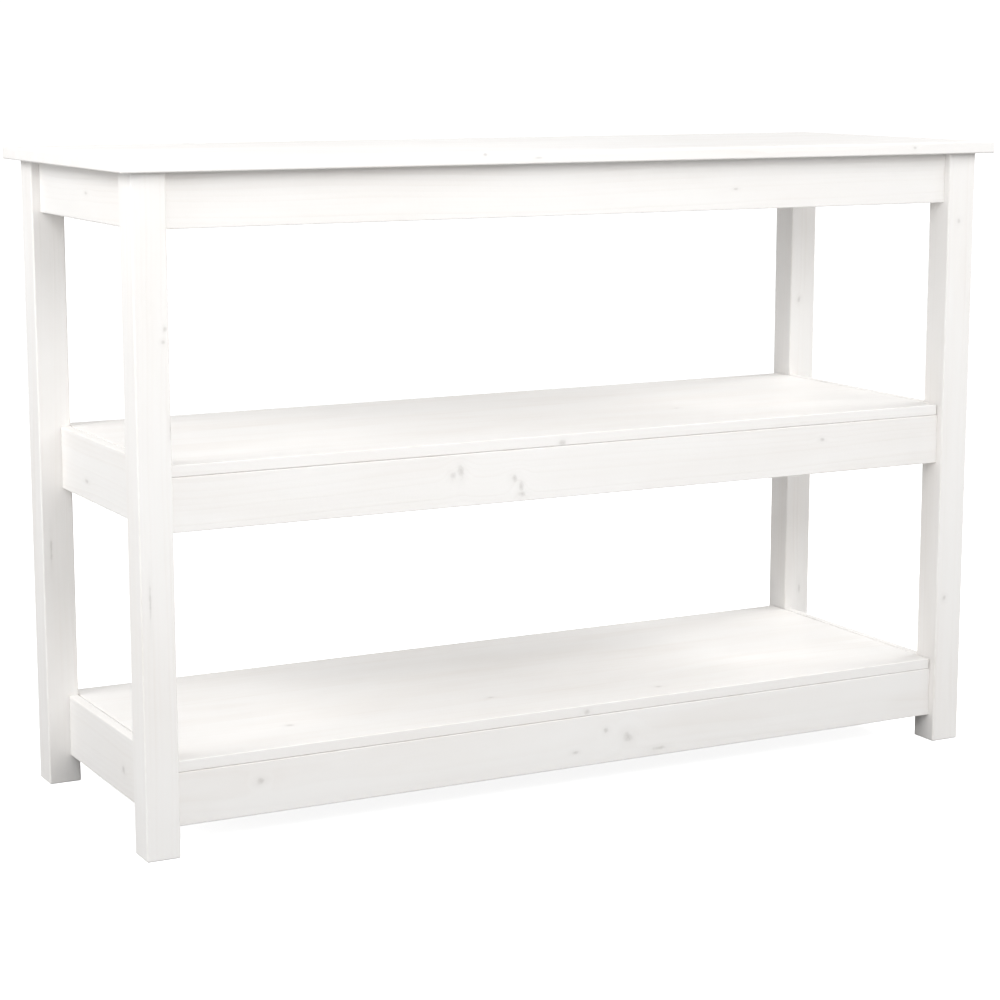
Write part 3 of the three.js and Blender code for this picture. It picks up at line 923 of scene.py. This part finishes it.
seat = {name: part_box(f"{name}_apron_front")[1].z for name in FRAMES}
foot = {name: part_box(f"{name}_apron_front")[0].z for name in FRAMES}
leg_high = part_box("leg_front_left")[1]
inner_x = -leg_high.x  # the legs' inner faces, as distances from the middle
inner_y = -leg_high.y
twin_height = (seat["top"] - foot["top"] - 2 * TENON_SHOULDER - BOLT_LANE) / 2
print("frames at, mm:", {name: round(level / MM) for name, level in seat.items()})
print("twin tenons are", round(twin_height / MM, 1), "mm high")


def middle_of(node):
    return [(low + high) / 2 for low, high in zip(*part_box(node))]


def twin_spans(name):
    upper = seat[name] - TENON_SHOULDER
    lower = foot[name] + TENON_SHOULDER
    return [(upper - twin_height, upper), (lower, lower + twin_height)]


def side_span(name):
    top_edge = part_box(f"{name}_{SIDE_PIECE[name]}_left")[1].z
    return foot[name] + TENON_SHOULDER, top_edge - TENON_SHOULDER

# %% [markdown]
# ## Legs
# Four legs of 38 mm square pine, the grain upright. The long arrises are eased, and the ends a
# little less, enough to keep the feet from chipping. Every leg takes nine stub tenons and three
# cam bolts, so its two inner faces are mortised at each frame. The cuts are hidden once the table
# stands, but they are what lets it come apart.

# %% Make the legs
LEG_EASE = 2.0 * MM
FOOT_EASE = 1.6 * MM
LEG_KNOTS = {  # shares of width, depth and height, the branch's axis, radius, stretch
    "leg_front_left": [
        ((0.88, 0.0, 0.779), "y", 2.2, 1.2),
        ((0.82, 0.0, 0.761), "y", 2.6, 1.0),
        ((0.98, 0.0, 0.635), "y", 2.0, 5.0),
        ((0.27, 0.0, 0.388), "y", 1.3, 16.0),
    ],
    "leg_front_right": [((0.42, 0.0, 0.888), "y", 2.8, 1.3), ((0.3, 0.0, 0.25), "y", 2.8, 1.3)],
    "leg_back_left": [((0.27, 0.0, 0.385), "y", 1.4, 12.0)],
    "leg_back_right": [((0.35, 0.0, 0.72), "y", 2.8, 1.5), ((0.6, 0.0, 0.18), "y", 2.2, 4.0)],
}


def leg_cuts(end, face):
    """Mortises and bolt bores; `end` and `face` are the signs of the leg's X and Y."""
    cuts = []
    mouth_x = end * (inner_x - OVERRUN)
    mouth_y = face * (inner_y - OVERRUN)
    for name in FRAMES:
        apron = f"{name}_apron_{'back' if face > 0 else 'front'}"
        apron_y = middle_of(apron)[1]
        deep_x = end * (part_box(apron)[1].x + FIT_GAP)
        half = TENON_THICKNESS / 2 + FIT_GAP
        for bottom, top in twin_spans(name):
            mouth = (mouth_x, apron_y - half, bottom - FIT_GAP)
            cuts.append(block(mouth, (deep_x, apron_y + half, top + FIT_GAP)))
        side = f"{name}_{SIDE_PIECE[name]}_{'right' if end > 0 else 'left'}"
        side_x = middle_of(side)[0]
        deep_y = face * (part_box(side)[1].y + FIT_GAP)
        half = SIDE_TENON_THICKNESS[name] / 2 + FIT_GAP
        bottom, top = side_span(name)
        mouth = (side_x - half, mouth_y, bottom - FIT_GAP)
        cuts.append(block(mouth, (side_x + half, deep_y, top + FIT_GAP)))
        level = (seat[name] + foot[name]) / 2
        bore_end = end * (inner_x + LEG_BORE_DEPTH)
        cuts.append(rod((mouth_x, apron_y, level), (bore_end, apron_y, level), LEG_BORE))
    return cuts


for face_name, face in FACES.items():
    for end_name, end in ENDS.items():
        node = f"leg_{face_name}_{end_name}"
        low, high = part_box(node)
        knots = spots(low, high, "z", LEG_KNOTS[node])
        ease = (LEG_EASE, LEG_EASE, FOOT_EASE)
        timber(node, low, high, "zxy", ease, cuts=leg_cuts(end, face), knots=knots)

# %% [markdown]
# ## Long aprons
# Six long aprons run from leg to leg under the top and under each shelf. Their ends are sawn
# square and butt against the legs, and their long arrises are eased. On the inner face a round
# pocket at each end takes the cam disc, a bore from the end grain reaches it, and a housing in the
# middle takes the cross rail.

# %% Make the long aprons
APRON_EASE = 1.2 * MM
CAM_CLEARANCE = 0.3 * MM
APRON_KNOTS = {
    "mid_apron_front": [
        ((0.343, 0.0, 0.66), "y", 7.5, 0.6),
        ((0.333, 0.0, 0.60), "y", 4.2, 1.0),
        ((0.410, 0.0, 0.46), "y", 4.4, 1.0),
        ((0.419, 0.0, 0.28), "y", 6.2, 0.5),
        ((0.420, 0.0, 0.14), "y", 3.4, 1.5),
        ((0.830, 0.0, 0.69), "y", 2.4, 1.5),
    ],
    "low_apron_front": [
        ((0.562, 0.0, 0.46), "y", 6.4, 1.0),
        ((0.532, 0.0, 0.66), "y", 3.4, 1.0),
        ((0.605, 0.0, 0.14), "y", 2.6, 3.5),
        ((0.491, 0.0, 0.30), "y", 2.2, 2.0),
        ((0.097, 0.0, 0.63), "y", 3.6, 1.3),
    ],
    "top_apron_front": [((0.7, 0.0, 0.4), "y", 1.3, 3.0)],
    "mid_apron_back": [((0.24, 1.0, 0.5), "y", 5.6, 1.0), ((0.77, 1.0, 0.35), "y", 3.6, 1.3)],
    "low_apron_back": [((0.64, 1.0, 0.6), "y", 6.0, 1.0)],
    "top_apron_back": [((0.35, 1.0, 0.45), "y", 4.6, 1.2)],
}


def apron_shapes(name, face_name, face):
    """The tenons to join on and the pockets, bores and housing to cut out."""
    node = f"{name}_apron_{face_name}"
    low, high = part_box(node)
    shoulder = inner_x - SHOULDER_GAP
    middle_y = (low.y + high.y) / 2
    inner_face = low.y if face > 0 else high.y
    outside = inner_face - face * OVERRUN
    tenons, cuts = [], []
    for end_name, end in ENDS.items():
        for bottom, top in twin_spans(name):
            root = (end * (shoulder - OVERRUN), middle_y - TENON_THICKNESS / 2, bottom)
            tenons.append(block(root, (end * high.x, middle_y + TENON_THICKNESS / 2, top)))
        cam_low, cam_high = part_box(f"cam_disc_{name}_{face_name}_{end_name}")
        cam = (cam_low + cam_high) / 2
        cam_depth = (cam_high.y if face > 0 else cam_low.y) + face * CAM_CLEARANCE
        radius = (cam_high.x - cam_low.x) / 2 + CAM_CLEARANCE
        cuts.append(rod((cam.x, outside, cam.z), (cam.x, cam_depth, cam.z), radius))
        bore_end = end * (shoulder + OVERRUN)
        cuts.append(rod((cam.x, middle_y, cam.z), (bore_end, middle_y, cam.z), BOLT_BORE))
    rail_low, rail_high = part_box(f"{name}_cross_rail")
    housed_y = (rail_high.y if face > 0 else rail_low.y) + face * FIT_GAP
    housing = (rail_low.x - FIT_GAP, outside, rail_low.z - FIT_GAP)
    cuts.append(block(housing, (rail_high.x + FIT_GAP, housed_y, high.z + OVERRUN)))
    body_low = Vector((-shoulder, low.y, low.z))
    body_high = Vector((shoulder, high.y, high.z))
    return node, body_low, body_high, tenons, cuts


for name in FRAMES:
    for face_name, face in FACES.items():
        node, low, high, tenons, cuts = apron_shapes(name, face_name, face)
        knots = spots(low, high, "x", APRON_KNOTS[node])
        timber(node, low, high, "xzy", (0.0, APRON_EASE, APRON_EASE), tenons, cuts, knots)

# %% [markdown]
# ## Side aprons, side rails and cross rails
# The top has a short apron at each end, and each shelf has a taller, thinner side rail whose upper
# edge is level with the board. A cross rail runs from front to back under the middle of each
# board. Screws go up through the rails from counterbored holes, which show from underneath.

# %% Make the short members
RAIL_EASE = 1.8 * MM
WAY_RADIUS = 2.3 * MM  # round a screw's shank
HEAD_WAY_RADIUS = 4.3 * MM
HEAD_HEIGHT = 2.6 * MM
SCREW_REACH = 20 * MM  # the middle of a rail's screw is never this far above the rail
SIDE_KNOTS = {
    "low_side_rail_left": [((0.0, 0.36, 0.42), "x", 4.2, 1.2)],
    "mid_side_rail_left": [((0.0, 0.7, 0.3), "x", 2.4, 3.0)],
    "top_apron_left": [((0.0, 0.45, 0.5), "x", 2.0, 2.5)],
    "low_side_rail_right": [((1.0, 0.6, 0.5), "x", 4.2, 1.2)],
    "mid_side_rail_right": [((1.0, 0.3, 0.6), "x", 4.6, 1.2)],
    "top_apron_right": [((1.0, 0.62, 0.4), "x", 3.4, 1.5)],
}


def screw_ways(low, high):
    """For every screw that a rail holds: a wide way for its head and a narrow one for its shank."""
    cuts = []
    for screw in all_screws:
        x, y, z = middle_of(screw)
        if low.x < x < high.x and low.y < y < high.y and low.z < z < high.z + SCREW_REACH:
            seat_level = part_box(screw)[0].z + HEAD_HEIGHT + FIT_GAP
            cuts.append(rod((x, y, low.z - OVERRUN), (x, y, seat_level), HEAD_WAY_RADIUS))
            cuts.append(rod((x, y, seat_level - OVERRUN / 2), (x, y, high.z + OVERRUN), WAY_RADIUS))
    return cuts


def side_tenons(node, name):
    low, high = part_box(node)
    half = SIDE_TENON_THICKNESS[name] / 2
    middle_x = (low.x + high.x) / 2
    bottom, top = side_span(name)
    tenons = []
    for face in FACES.values():
        root = (middle_x - half, face * (inner_y - SHOULDER_GAP - OVERRUN), bottom)
        tenons.append(block(root, (middle_x + half, face * high.y, top)))
    return tenons


all_screws = sorted(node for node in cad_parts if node.startswith("screw_"))
rail_ease = (RAIL_EASE, 0.0, RAIL_EASE)
for name in FRAMES:
    for end_name in ENDS:
        node = f"{name}_{SIDE_PIECE[name]}_{end_name}"
        low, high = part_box(node)
        low.y, high.y = SHOULDER_GAP - inner_y, inner_y - SHOULDER_GAP
        knots = spots(low, high, "y", SIDE_KNOTS[node])
        timber(node, low, high, "yzx", rail_ease, side_tenons(node, name), screw_ways(low, high), knots)
    node = f"{name}_cross_rail"
    low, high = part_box(node)
    timber(node, low, high, "yzx", rail_ease, cuts=screw_ways(low, high))

# %% [markdown]
# ## Top and shelf boards
# The three wide boards are glued up from staves. The top overhangs the legs by 16 mm all round,
# and each shelf lies on its long aprons between the side rails, so its front edge makes a fine
# dark line with the apron below. A hair of daylight under the shelf board keeps that line real.

# %% Make the wide boards
TOP_EASE = 1.8 * MM
SHELF_EASE = 1.2 * MM
SEAM_GAP = 0.2 * MM
PANEL_KNOTS = {
    "tabletop": [
        ((0.374, 0.0, 0.80), "y", 1.7, 1.5),
        ((0.433, 0.0, 0.45), "y", 1.6, 3.0),
        ((0.892, 0.0, 0.57), "y", 1.9, 1.5),
        ((0.24, 0.66, 0.0), "y", 5.4, 1.2),
        ((0.71, 0.33, 0.0), "y", 4.6, 1.2),
    ],
    "mid_shelf_board": [((0.472, 0.0, 0.25), "y", 3.6, 1.3), ((0.7, 0.35, 1.0), "z", 3.0, 1.5)],
    "low_shelf_board": [
        ((0.627, 0.106, 1.0), "z", 3.6, 1.5),
        ((0.425, 0.241, 1.0), "z", 3.0, 1.5),
        ((0.166, 0.227, 1.0), "z", 3.8, 1.5),
        ((0.506, 0.0, 0.35), "y", 3.4, 1.3),
    ],
}


def screw_holes(low, high):
    """Blind holes in the underside, one for each screw that reaches this board."""
    cuts = []
    for screw in all_screws:
        x, y, _ = middle_of(screw)
        screw_low, screw_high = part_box(screw)
        if screw_low.z < low.z < screw_high.z < high.z:
            cuts.append(rod((x, y, low.z - OVERRUN), (x, y, screw_high.z + FIT_GAP), WAY_RADIUS))
    return cuts


for node in ("tabletop", "mid_shelf_board", "low_shelf_board"):
    low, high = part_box(node)
    knots = spots(low, high, "x", PANEL_KNOTS[node])
    ease = TOP_EASE
    if node != "tabletop":
        low.z += SEAM_GAP
        ease = SHELF_EASE
    cuts = screw_holes(low, high)
    timber(node, low, high, "xyz", (ease,) * 3, cuts=cuts, knots=knots, stave_width=PANEL_STAVE)

# %% [markdown]
# ## Fittings set out by points
# The screws, cam bolts and cam discs repeat, so each is modelled once, at its own origin, and a
# Geometry Nodes tree sets the copies out on points. The points are a bare mesh with one vertex for
# each fitting and an attribute `turn` for the way that it faces. The same tree can wind a thread
# on the blank: it lifts the skin by a ridge whose height depends on how far up a point is, less
# the share of a turn that it has gone round. Its seed gives each fitting its own last twist.

# %% The set-out tree
RIDGE_HALF = 0.34  # of a turn, from the thread's crest to its foot
TWIST_SEED = 7


def make_set_out():
    inputs = {
        "geometry": ["Points"],
        "object": ["Blank", "Recess"],
        "number": ["Pitch", "Thread height", "Thread start", "Thread end", "Twist"],
        "count": ["Seed"],
        "material": ["Finish"],
    }
    outputs = {"geometry": ["Fittings"]}
    tree, given, made = new_tree("set out fittings", "GeometryNodeTree", inputs, outputs)
    blank = add(tree, "GeometryNodeObjectInfo", [given["Blank"]]).outputs["Geometry"]
    point = add(tree, "GeometryNodeInputPosition").outputs[0]
    x, y, z = apart(tree, point)
    turns = calc(tree, "DIVIDE", calc(tree, "ARCTAN2", y, x), math.tau)
    wound = calc(tree, "FRACT", minus(tree, calc(tree, "DIVIDE", z, given["Pitch"]), turns))
    from_crest = calc(tree, "ABSOLUTE", minus(tree, wound, 0.5))
    ridge = ramp(tree, from_crest, 0.0, RIDGE_HALF, 1.0, 0.0)
    run_in = plus(tree, given["Thread start"], given["Pitch"])
    run_out = minus(tree, given["Thread end"], given["Pitch"])
    begins = ramp(tree, z, given["Thread start"], run_in)
    ends = ramp(tree, z, run_out, given["Thread end"], 1.0, 0.0)
    whole = times(tree, begins, ends)
    lift = times(tree, times(tree, ridge, given["Thread height"]), whole)
    outwards = reckon(tree, "NORMALIZE", together(tree, x, y, 0.0))
    offset = reckon(tree, "MULTIPLY", outwards, together(tree, lift, lift, lift))
    threaded = add(tree, "GeometryNodeSetPosition", {"Geometry": blank, "Offset": offset})
    recess = add(tree, "GeometryNodeObjectInfo", [given["Recess"]]).outputs["Geometry"]
    cut = add(tree, "GeometryNodeMeshBoolean", operation="DIFFERENCE", solver="EXACT")
    cut.inputs["Self Intersection"].default_value = True
    tree.links.new(threaded.outputs[0], cut.inputs["Mesh 1"])
    tree.links.new(recess, cut.inputs["Mesh 2"])
    facing = add(tree, "GeometryNodeInputNamedAttribute", ["turn"], data_type="FLOAT_VECTOR").outputs[0]
    least = together(tree, 0.0, 0.0, times(tree, given["Twist"], -1.0))
    most = together(tree, 0.0, 0.0, given["Twist"])
    random_turn = add(tree, "FunctionNodeRandomValue", {0: least, 1: most}, data_type="FLOAT_VECTOR")
    connect(tree, random_turn.inputs["Seed"], given["Seed"])
    last_twist = add(tree, "FunctionNodeEulerToRotation", [random_turn.outputs[0]]).outputs[0]
    aimed = add(tree, "FunctionNodeEulerToRotation", [facing]).outputs[0]
    rotation = add(tree, "FunctionNodeRotateRotation", [aimed, last_twist], rotation_space="LOCAL").outputs[0]
    feeds = {"Points": given["Points"], "Instance": cut.outputs[0], "Rotation": rotation}
    copies = add(tree, "GeometryNodeInstanceOnPoints", feeds)
    finish_piece(tree, copies.outputs[0], given["Finish"], made["Fittings"])
    return tree


set_out_fittings = make_set_out()
print("set out fittings:", len(set_out_fittings.nodes), "nodes")

# %% [markdown]
# ## Turning a blank
# A screw, a bolt and a cam disc are all round, so one function turns them: it takes the outline as
# pairs of radius and height, and adds close rows wherever a thread is to be wound. The recesses
# are cut by crossed blocks and a cone, as the punch that forms the real one is shaped.

# %% Helpers for turned blanks
TURN_SIDES = 32
CONE_SIDES = 24
CONE_DEPTH = 1.25  # of the cross's depth
CONE_TIP = 0.25  # of the cone's radius at the mouth


def turned(outline, thread=None, row_gap=0.2 * MM):
    """A closed body about Z. `outline` begins and ends on the axis; `thread` is the span of heights
    that needs close rows."""
    rows = []
    for (radius, height), (next_radius, next_height) in zip(outline, outline[1:]):
        threaded = thread and height >= thread[0] and next_height <= thread[1] and next_height > height
        steps = max(1, round((next_height - height) / row_gap)) if threaded else 1
        for i in range(steps):
            share = i / steps
            row_radius = radius + (next_radius - radius) * share
            rows.append((row_radius, height + (next_height - height) * share))
    inner = [row for row in rows if row[0] > 0]
    points = [(0, 0, outline[0][1])]
    for radius, height in inner:
        for i in range(TURN_SIDES):
            angle = math.tau * i / TURN_SIDES
            points.append((radius * math.cos(angle), radius * math.sin(angle), height))
    points.append((0, 0, outline[-1][1]))
    last = len(points) - 1
    faces = []
    for i in range(TURN_SIDES):
        j = (i + 1) % TURN_SIDES
        faces.append((0, 1 + j, 1 + i))
        for row in range(len(inner) - 1):
            a, b = 1 + row * TURN_SIDES, 1 + (row + 1) * TURN_SIDES
            faces.append((a + i, a + j, b + j, b + i))
        top = 1 + (len(inner) - 1) * TURN_SIDES
        faces.append((top + i, top + j, last))
    return points, faces


def cross_recess(face_z, into, length, width, depth, cone_radius):
    """A cross drive in the face at height `face_z`; `into` is +1 or -1, the way that it goes in."""
    out = face_z - into * OVERRUN
    floor = face_z + into * depth
    tip = face_z + into * depth * CONE_DEPTH
    half, thin = length / 2, width / 2
    mouth = cone_radius * (1 + OVERRUN / depth)
    return [
        block((-half, -thin, out), (half, thin, floor)),
        block((-thin, -half, out), (thin, half, floor)),
        rod((0, 0, out), (0, 0, tip), mouth, cone_radius * CONE_TIP, CONE_SIDES),
    ]


print("a turned blank has", TURN_SIDES, "sides")

# %% [markdown]
# ## One call for one kind of fitting
# `set_out` makes the bare points, runs the tree on them, hangs the copies on the root body and hides
# the imported parts that they stand for. `aim` works out the turn that points a fitting the right way.

# %% The set-out function
def set_out(
    name, nodes, blank, recess, places, thread=(0.0, 0.0), pitch=1.0, height=0.0, twist=0.0
):
    """`places` are (origin, turn) pairs: where each fitting sits and the Euler turn that aims it."""
    tools = [plain_object("blank", [blank]), plain_object("recess", recess)]
    piece = plain_object(name, [([origin for origin, _ in places], [])])
    turns = piece.data.attributes.new("turn", "FLOAT_VECTOR", "POINT")
    for i, (_, turn) in enumerate(places):
        turns.data[i].vector = turn
    values = {
        "Blank": tools[0],
        "Recess": tools[1],
        "Pitch": pitch,
        "Thread height": height,
        "Thread start": thread[0],
        "Thread end": thread[1],
        "Twist": twist,
        "Seed": TWIST_SEED,
        "Finish": ZINC,
    }
    run_tree(piece, set_out_fittings, values)
    discard(*tools)
    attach(piece, "root")
    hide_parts(*nodes)
    report_piece(piece)
    return piece


def aim(up, side):
    """The Euler turn that takes a fitting's Z to `up` and its X to `side`."""
    up, side = Vector(up), Vector(side)
    return Matrix((side, up.cross(side), up)).transposed().to_euler()


fittings = [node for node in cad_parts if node.startswith(("screw_", "cam_"))]
print("packed fittings:", len(fittings))

# %% [markdown]
# ## Wood screws
# Ten countersunk screws, 4 by 30 mm, hold the boards down from below. The head is a cone with a
# small rim, the shank is plain under it, and the thread is rolled up to the point, so it stands
# proud of the core. Every one stopped at a different twist when it was driven.

# %% Make the screws
SCREW_OUTLINE = [  # pairs of radius and height, in mm
    *[(0, 0), (3.7, 0), (4.0, 0.3), (2.0, 2.6)],  # the head
    *[(1.8, 3.4), (1.8, 9.0)],  # the plain shank
    *[(1.4, 9.6), (1.4, 26.4), (0.35, 29.6), (0, 30.0)],  # the core under the thread
]
SCREW_THREAD = (9.6 * MM, 29.6 * MM)
SCREW_PITCH = 1.8 * MM
SCREW_RIDGE = 0.55 * MM
SCREW_CROSS = {"length": 4.4 * MM, "width": 1.1 * MM, "depth": 1.7 * MM, "cone_radius": 1.3 * MM}

screw_places = []
for screw in all_screws:
    x, y, _ = middle_of(screw)
    screw_places.append(((x, y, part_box(screw)[0].z), (0.0, 0.0, 0.0)))
set_out(
    "wood_screws_zinc",
    all_screws,
    turned([(r * MM, h * MM) for r, h in SCREW_OUTLINE], SCREW_THREAD),
    cross_recess(0.0, 1, **SCREW_CROSS),
    screw_places,
    SCREW_THREAD,
    SCREW_PITCH,
    SCREW_RIDGE,
    math.pi,
)

# %% [markdown]
# ## Cam bolts
# A cam bolt screws into the leg's inner face and sticks out into the apron's bore, where the disc
# grips its head. Its origin is where it enters the leg: the thread is beyond, and the shank, the
# neck and the mushroom head are behind.

# %% Make the cam bolts
BOLT_OUTLINE = [
    *[(0, -36.5), (2.6, -36.2), (3.4, -35.4), (3.5, -34.2)],  # the mushroom head
    *[(2.0, -32.4), (2.0, -27.0)],  # the neck
    *[(3.2, -25.8), (3.4, -25.2), (3.4, -2.0), (2.9, -1.6), (2.9, -0.3)],  # the shank
    *[(2.3, 0.0), (2.3, 10.0), (1.4, 10.9), (0, 11.0)],  # the core under the thread
]
BOLT_THREAD = (0.0, 10.0 * MM)
BOLT_PITCH = 2.2 * MM
BOLT_RIDGE = 0.65 * MM

bolt_nodes, bolt_places = [], []
for name, face_name, end_name in JOINTS:
    node = f"cam_bolt_{name}_{face_name}_{end_name}"
    end = ENDS[end_name]
    entry = (end * inner_x, *middle_of(node)[1:])
    bolt_nodes.append(node)
    bolt_places.append((entry, aim((end, 0, 0), (0, 1, 0))))
set_out(
    "cam_bolts_zinc",
    bolt_nodes,
    turned([(r * MM, h * MM) for r, h in BOLT_OUTLINE], BOLT_THREAD),
    [],
    bolt_places,
    BOLT_THREAD,
    BOLT_PITCH,
    BOLT_RIDGE,
    math.pi,
)

# %% [markdown]
# ## Cam discs
# The disc is a squat die-cast barrel with a cross drive in its face and a pointer that shows which
# way the bolt comes in. Underneath it is hollow, with a slot in its wall for the bolt's neck. Half
# a turn of the driver pulls the joint tight.

# %% Make the cam discs
DISC_RADIUS = 7.2
DISC_TOP = 8.7
DISC_FACE = 8.4  # the rim stands proud of it
DISC_FLOOR = -4.7
FLOOR_BEVEL = 0.5
RIM_BEVEL = 0.4
RIM_INSIDE = 6.2
RIM_SLOPE = 0.3
FACE_EDGE = 5.5
DISC_OUTLINE = [
    *[(0, DISC_FLOOR), (DISC_RADIUS - FLOOR_BEVEL, DISC_FLOOR), (DISC_RADIUS, DISC_FLOOR + FLOOR_BEVEL)],
    *[(DISC_RADIUS, DISC_TOP - RIM_BEVEL), (DISC_RADIUS - RIM_BEVEL, DISC_TOP), (RIM_INSIDE, DISC_TOP)],
    *[(RIM_INSIDE - RIM_SLOPE, DISC_FACE), (FACE_EDGE, DISC_FACE), (0, DISC_FACE)],
]
DISC_CROSS = {"length": 6.4 * MM, "width": 1.4 * MM, "depth": 2.0 * MM, "cone_radius": 1.7 * MM}
POINTER = [(3.7, -1.0), (5.2, 0.0), (3.7, 1.0)]  # its corners in mm
POINTER_DEPTH = 0.4 * MM
HEAD_ROOM = 4.1 * MM
NECK_SLOT = 4.6 * MM


def disc_recess():
    face = DISC_FACE * MM
    below = DISC_FLOOR * MM - OVERRUN
    cuts = cross_recess(face, -1, **DISC_CROSS)
    cuts.append(rod((0, 0, below), (0, 0, HEAD_ROOM), HEAD_ROOM, sides=TURN_SIDES))
    slot_end = (DISC_RADIUS * MM + OVERRUN, NECK_SLOT / 2, NECK_SLOT / 2)
    cuts.append(block((0, -NECK_SLOT / 2, below), slot_end))
    levels = (face - POINTER_DEPTH, face + OVERRUN)
    points = [(x * MM, y * MM, z) for z in levels for x, y in POINTER]
    cuts.append((points, [(2, 1, 0), (3, 4, 5), (0, 1, 4, 3), (1, 2, 5, 4), (2, 0, 3, 5)]))
    return cuts


disc_nodes, disc_places = [], []
for name, face_name, end_name in JOINTS:
    node = f"cam_disc_{name}_{face_name}_{end_name}"
    x, _, z = middle_of(node)
    bolt_y = middle_of(f"{name}_apron_{face_name}")[1]
    disc_nodes.append(node)
    disc_places.append(((x, bolt_y, z), aim((0, -FACES[face_name], 0), (ENDS[end_name], 0, 0))))
set_out(
    "cam_discs_zinc",
    disc_nodes,
    turned([(r * MM, h * MM) for r, h in DISC_OUTLINE]),
    disc_recess(),
    disc_places,
)
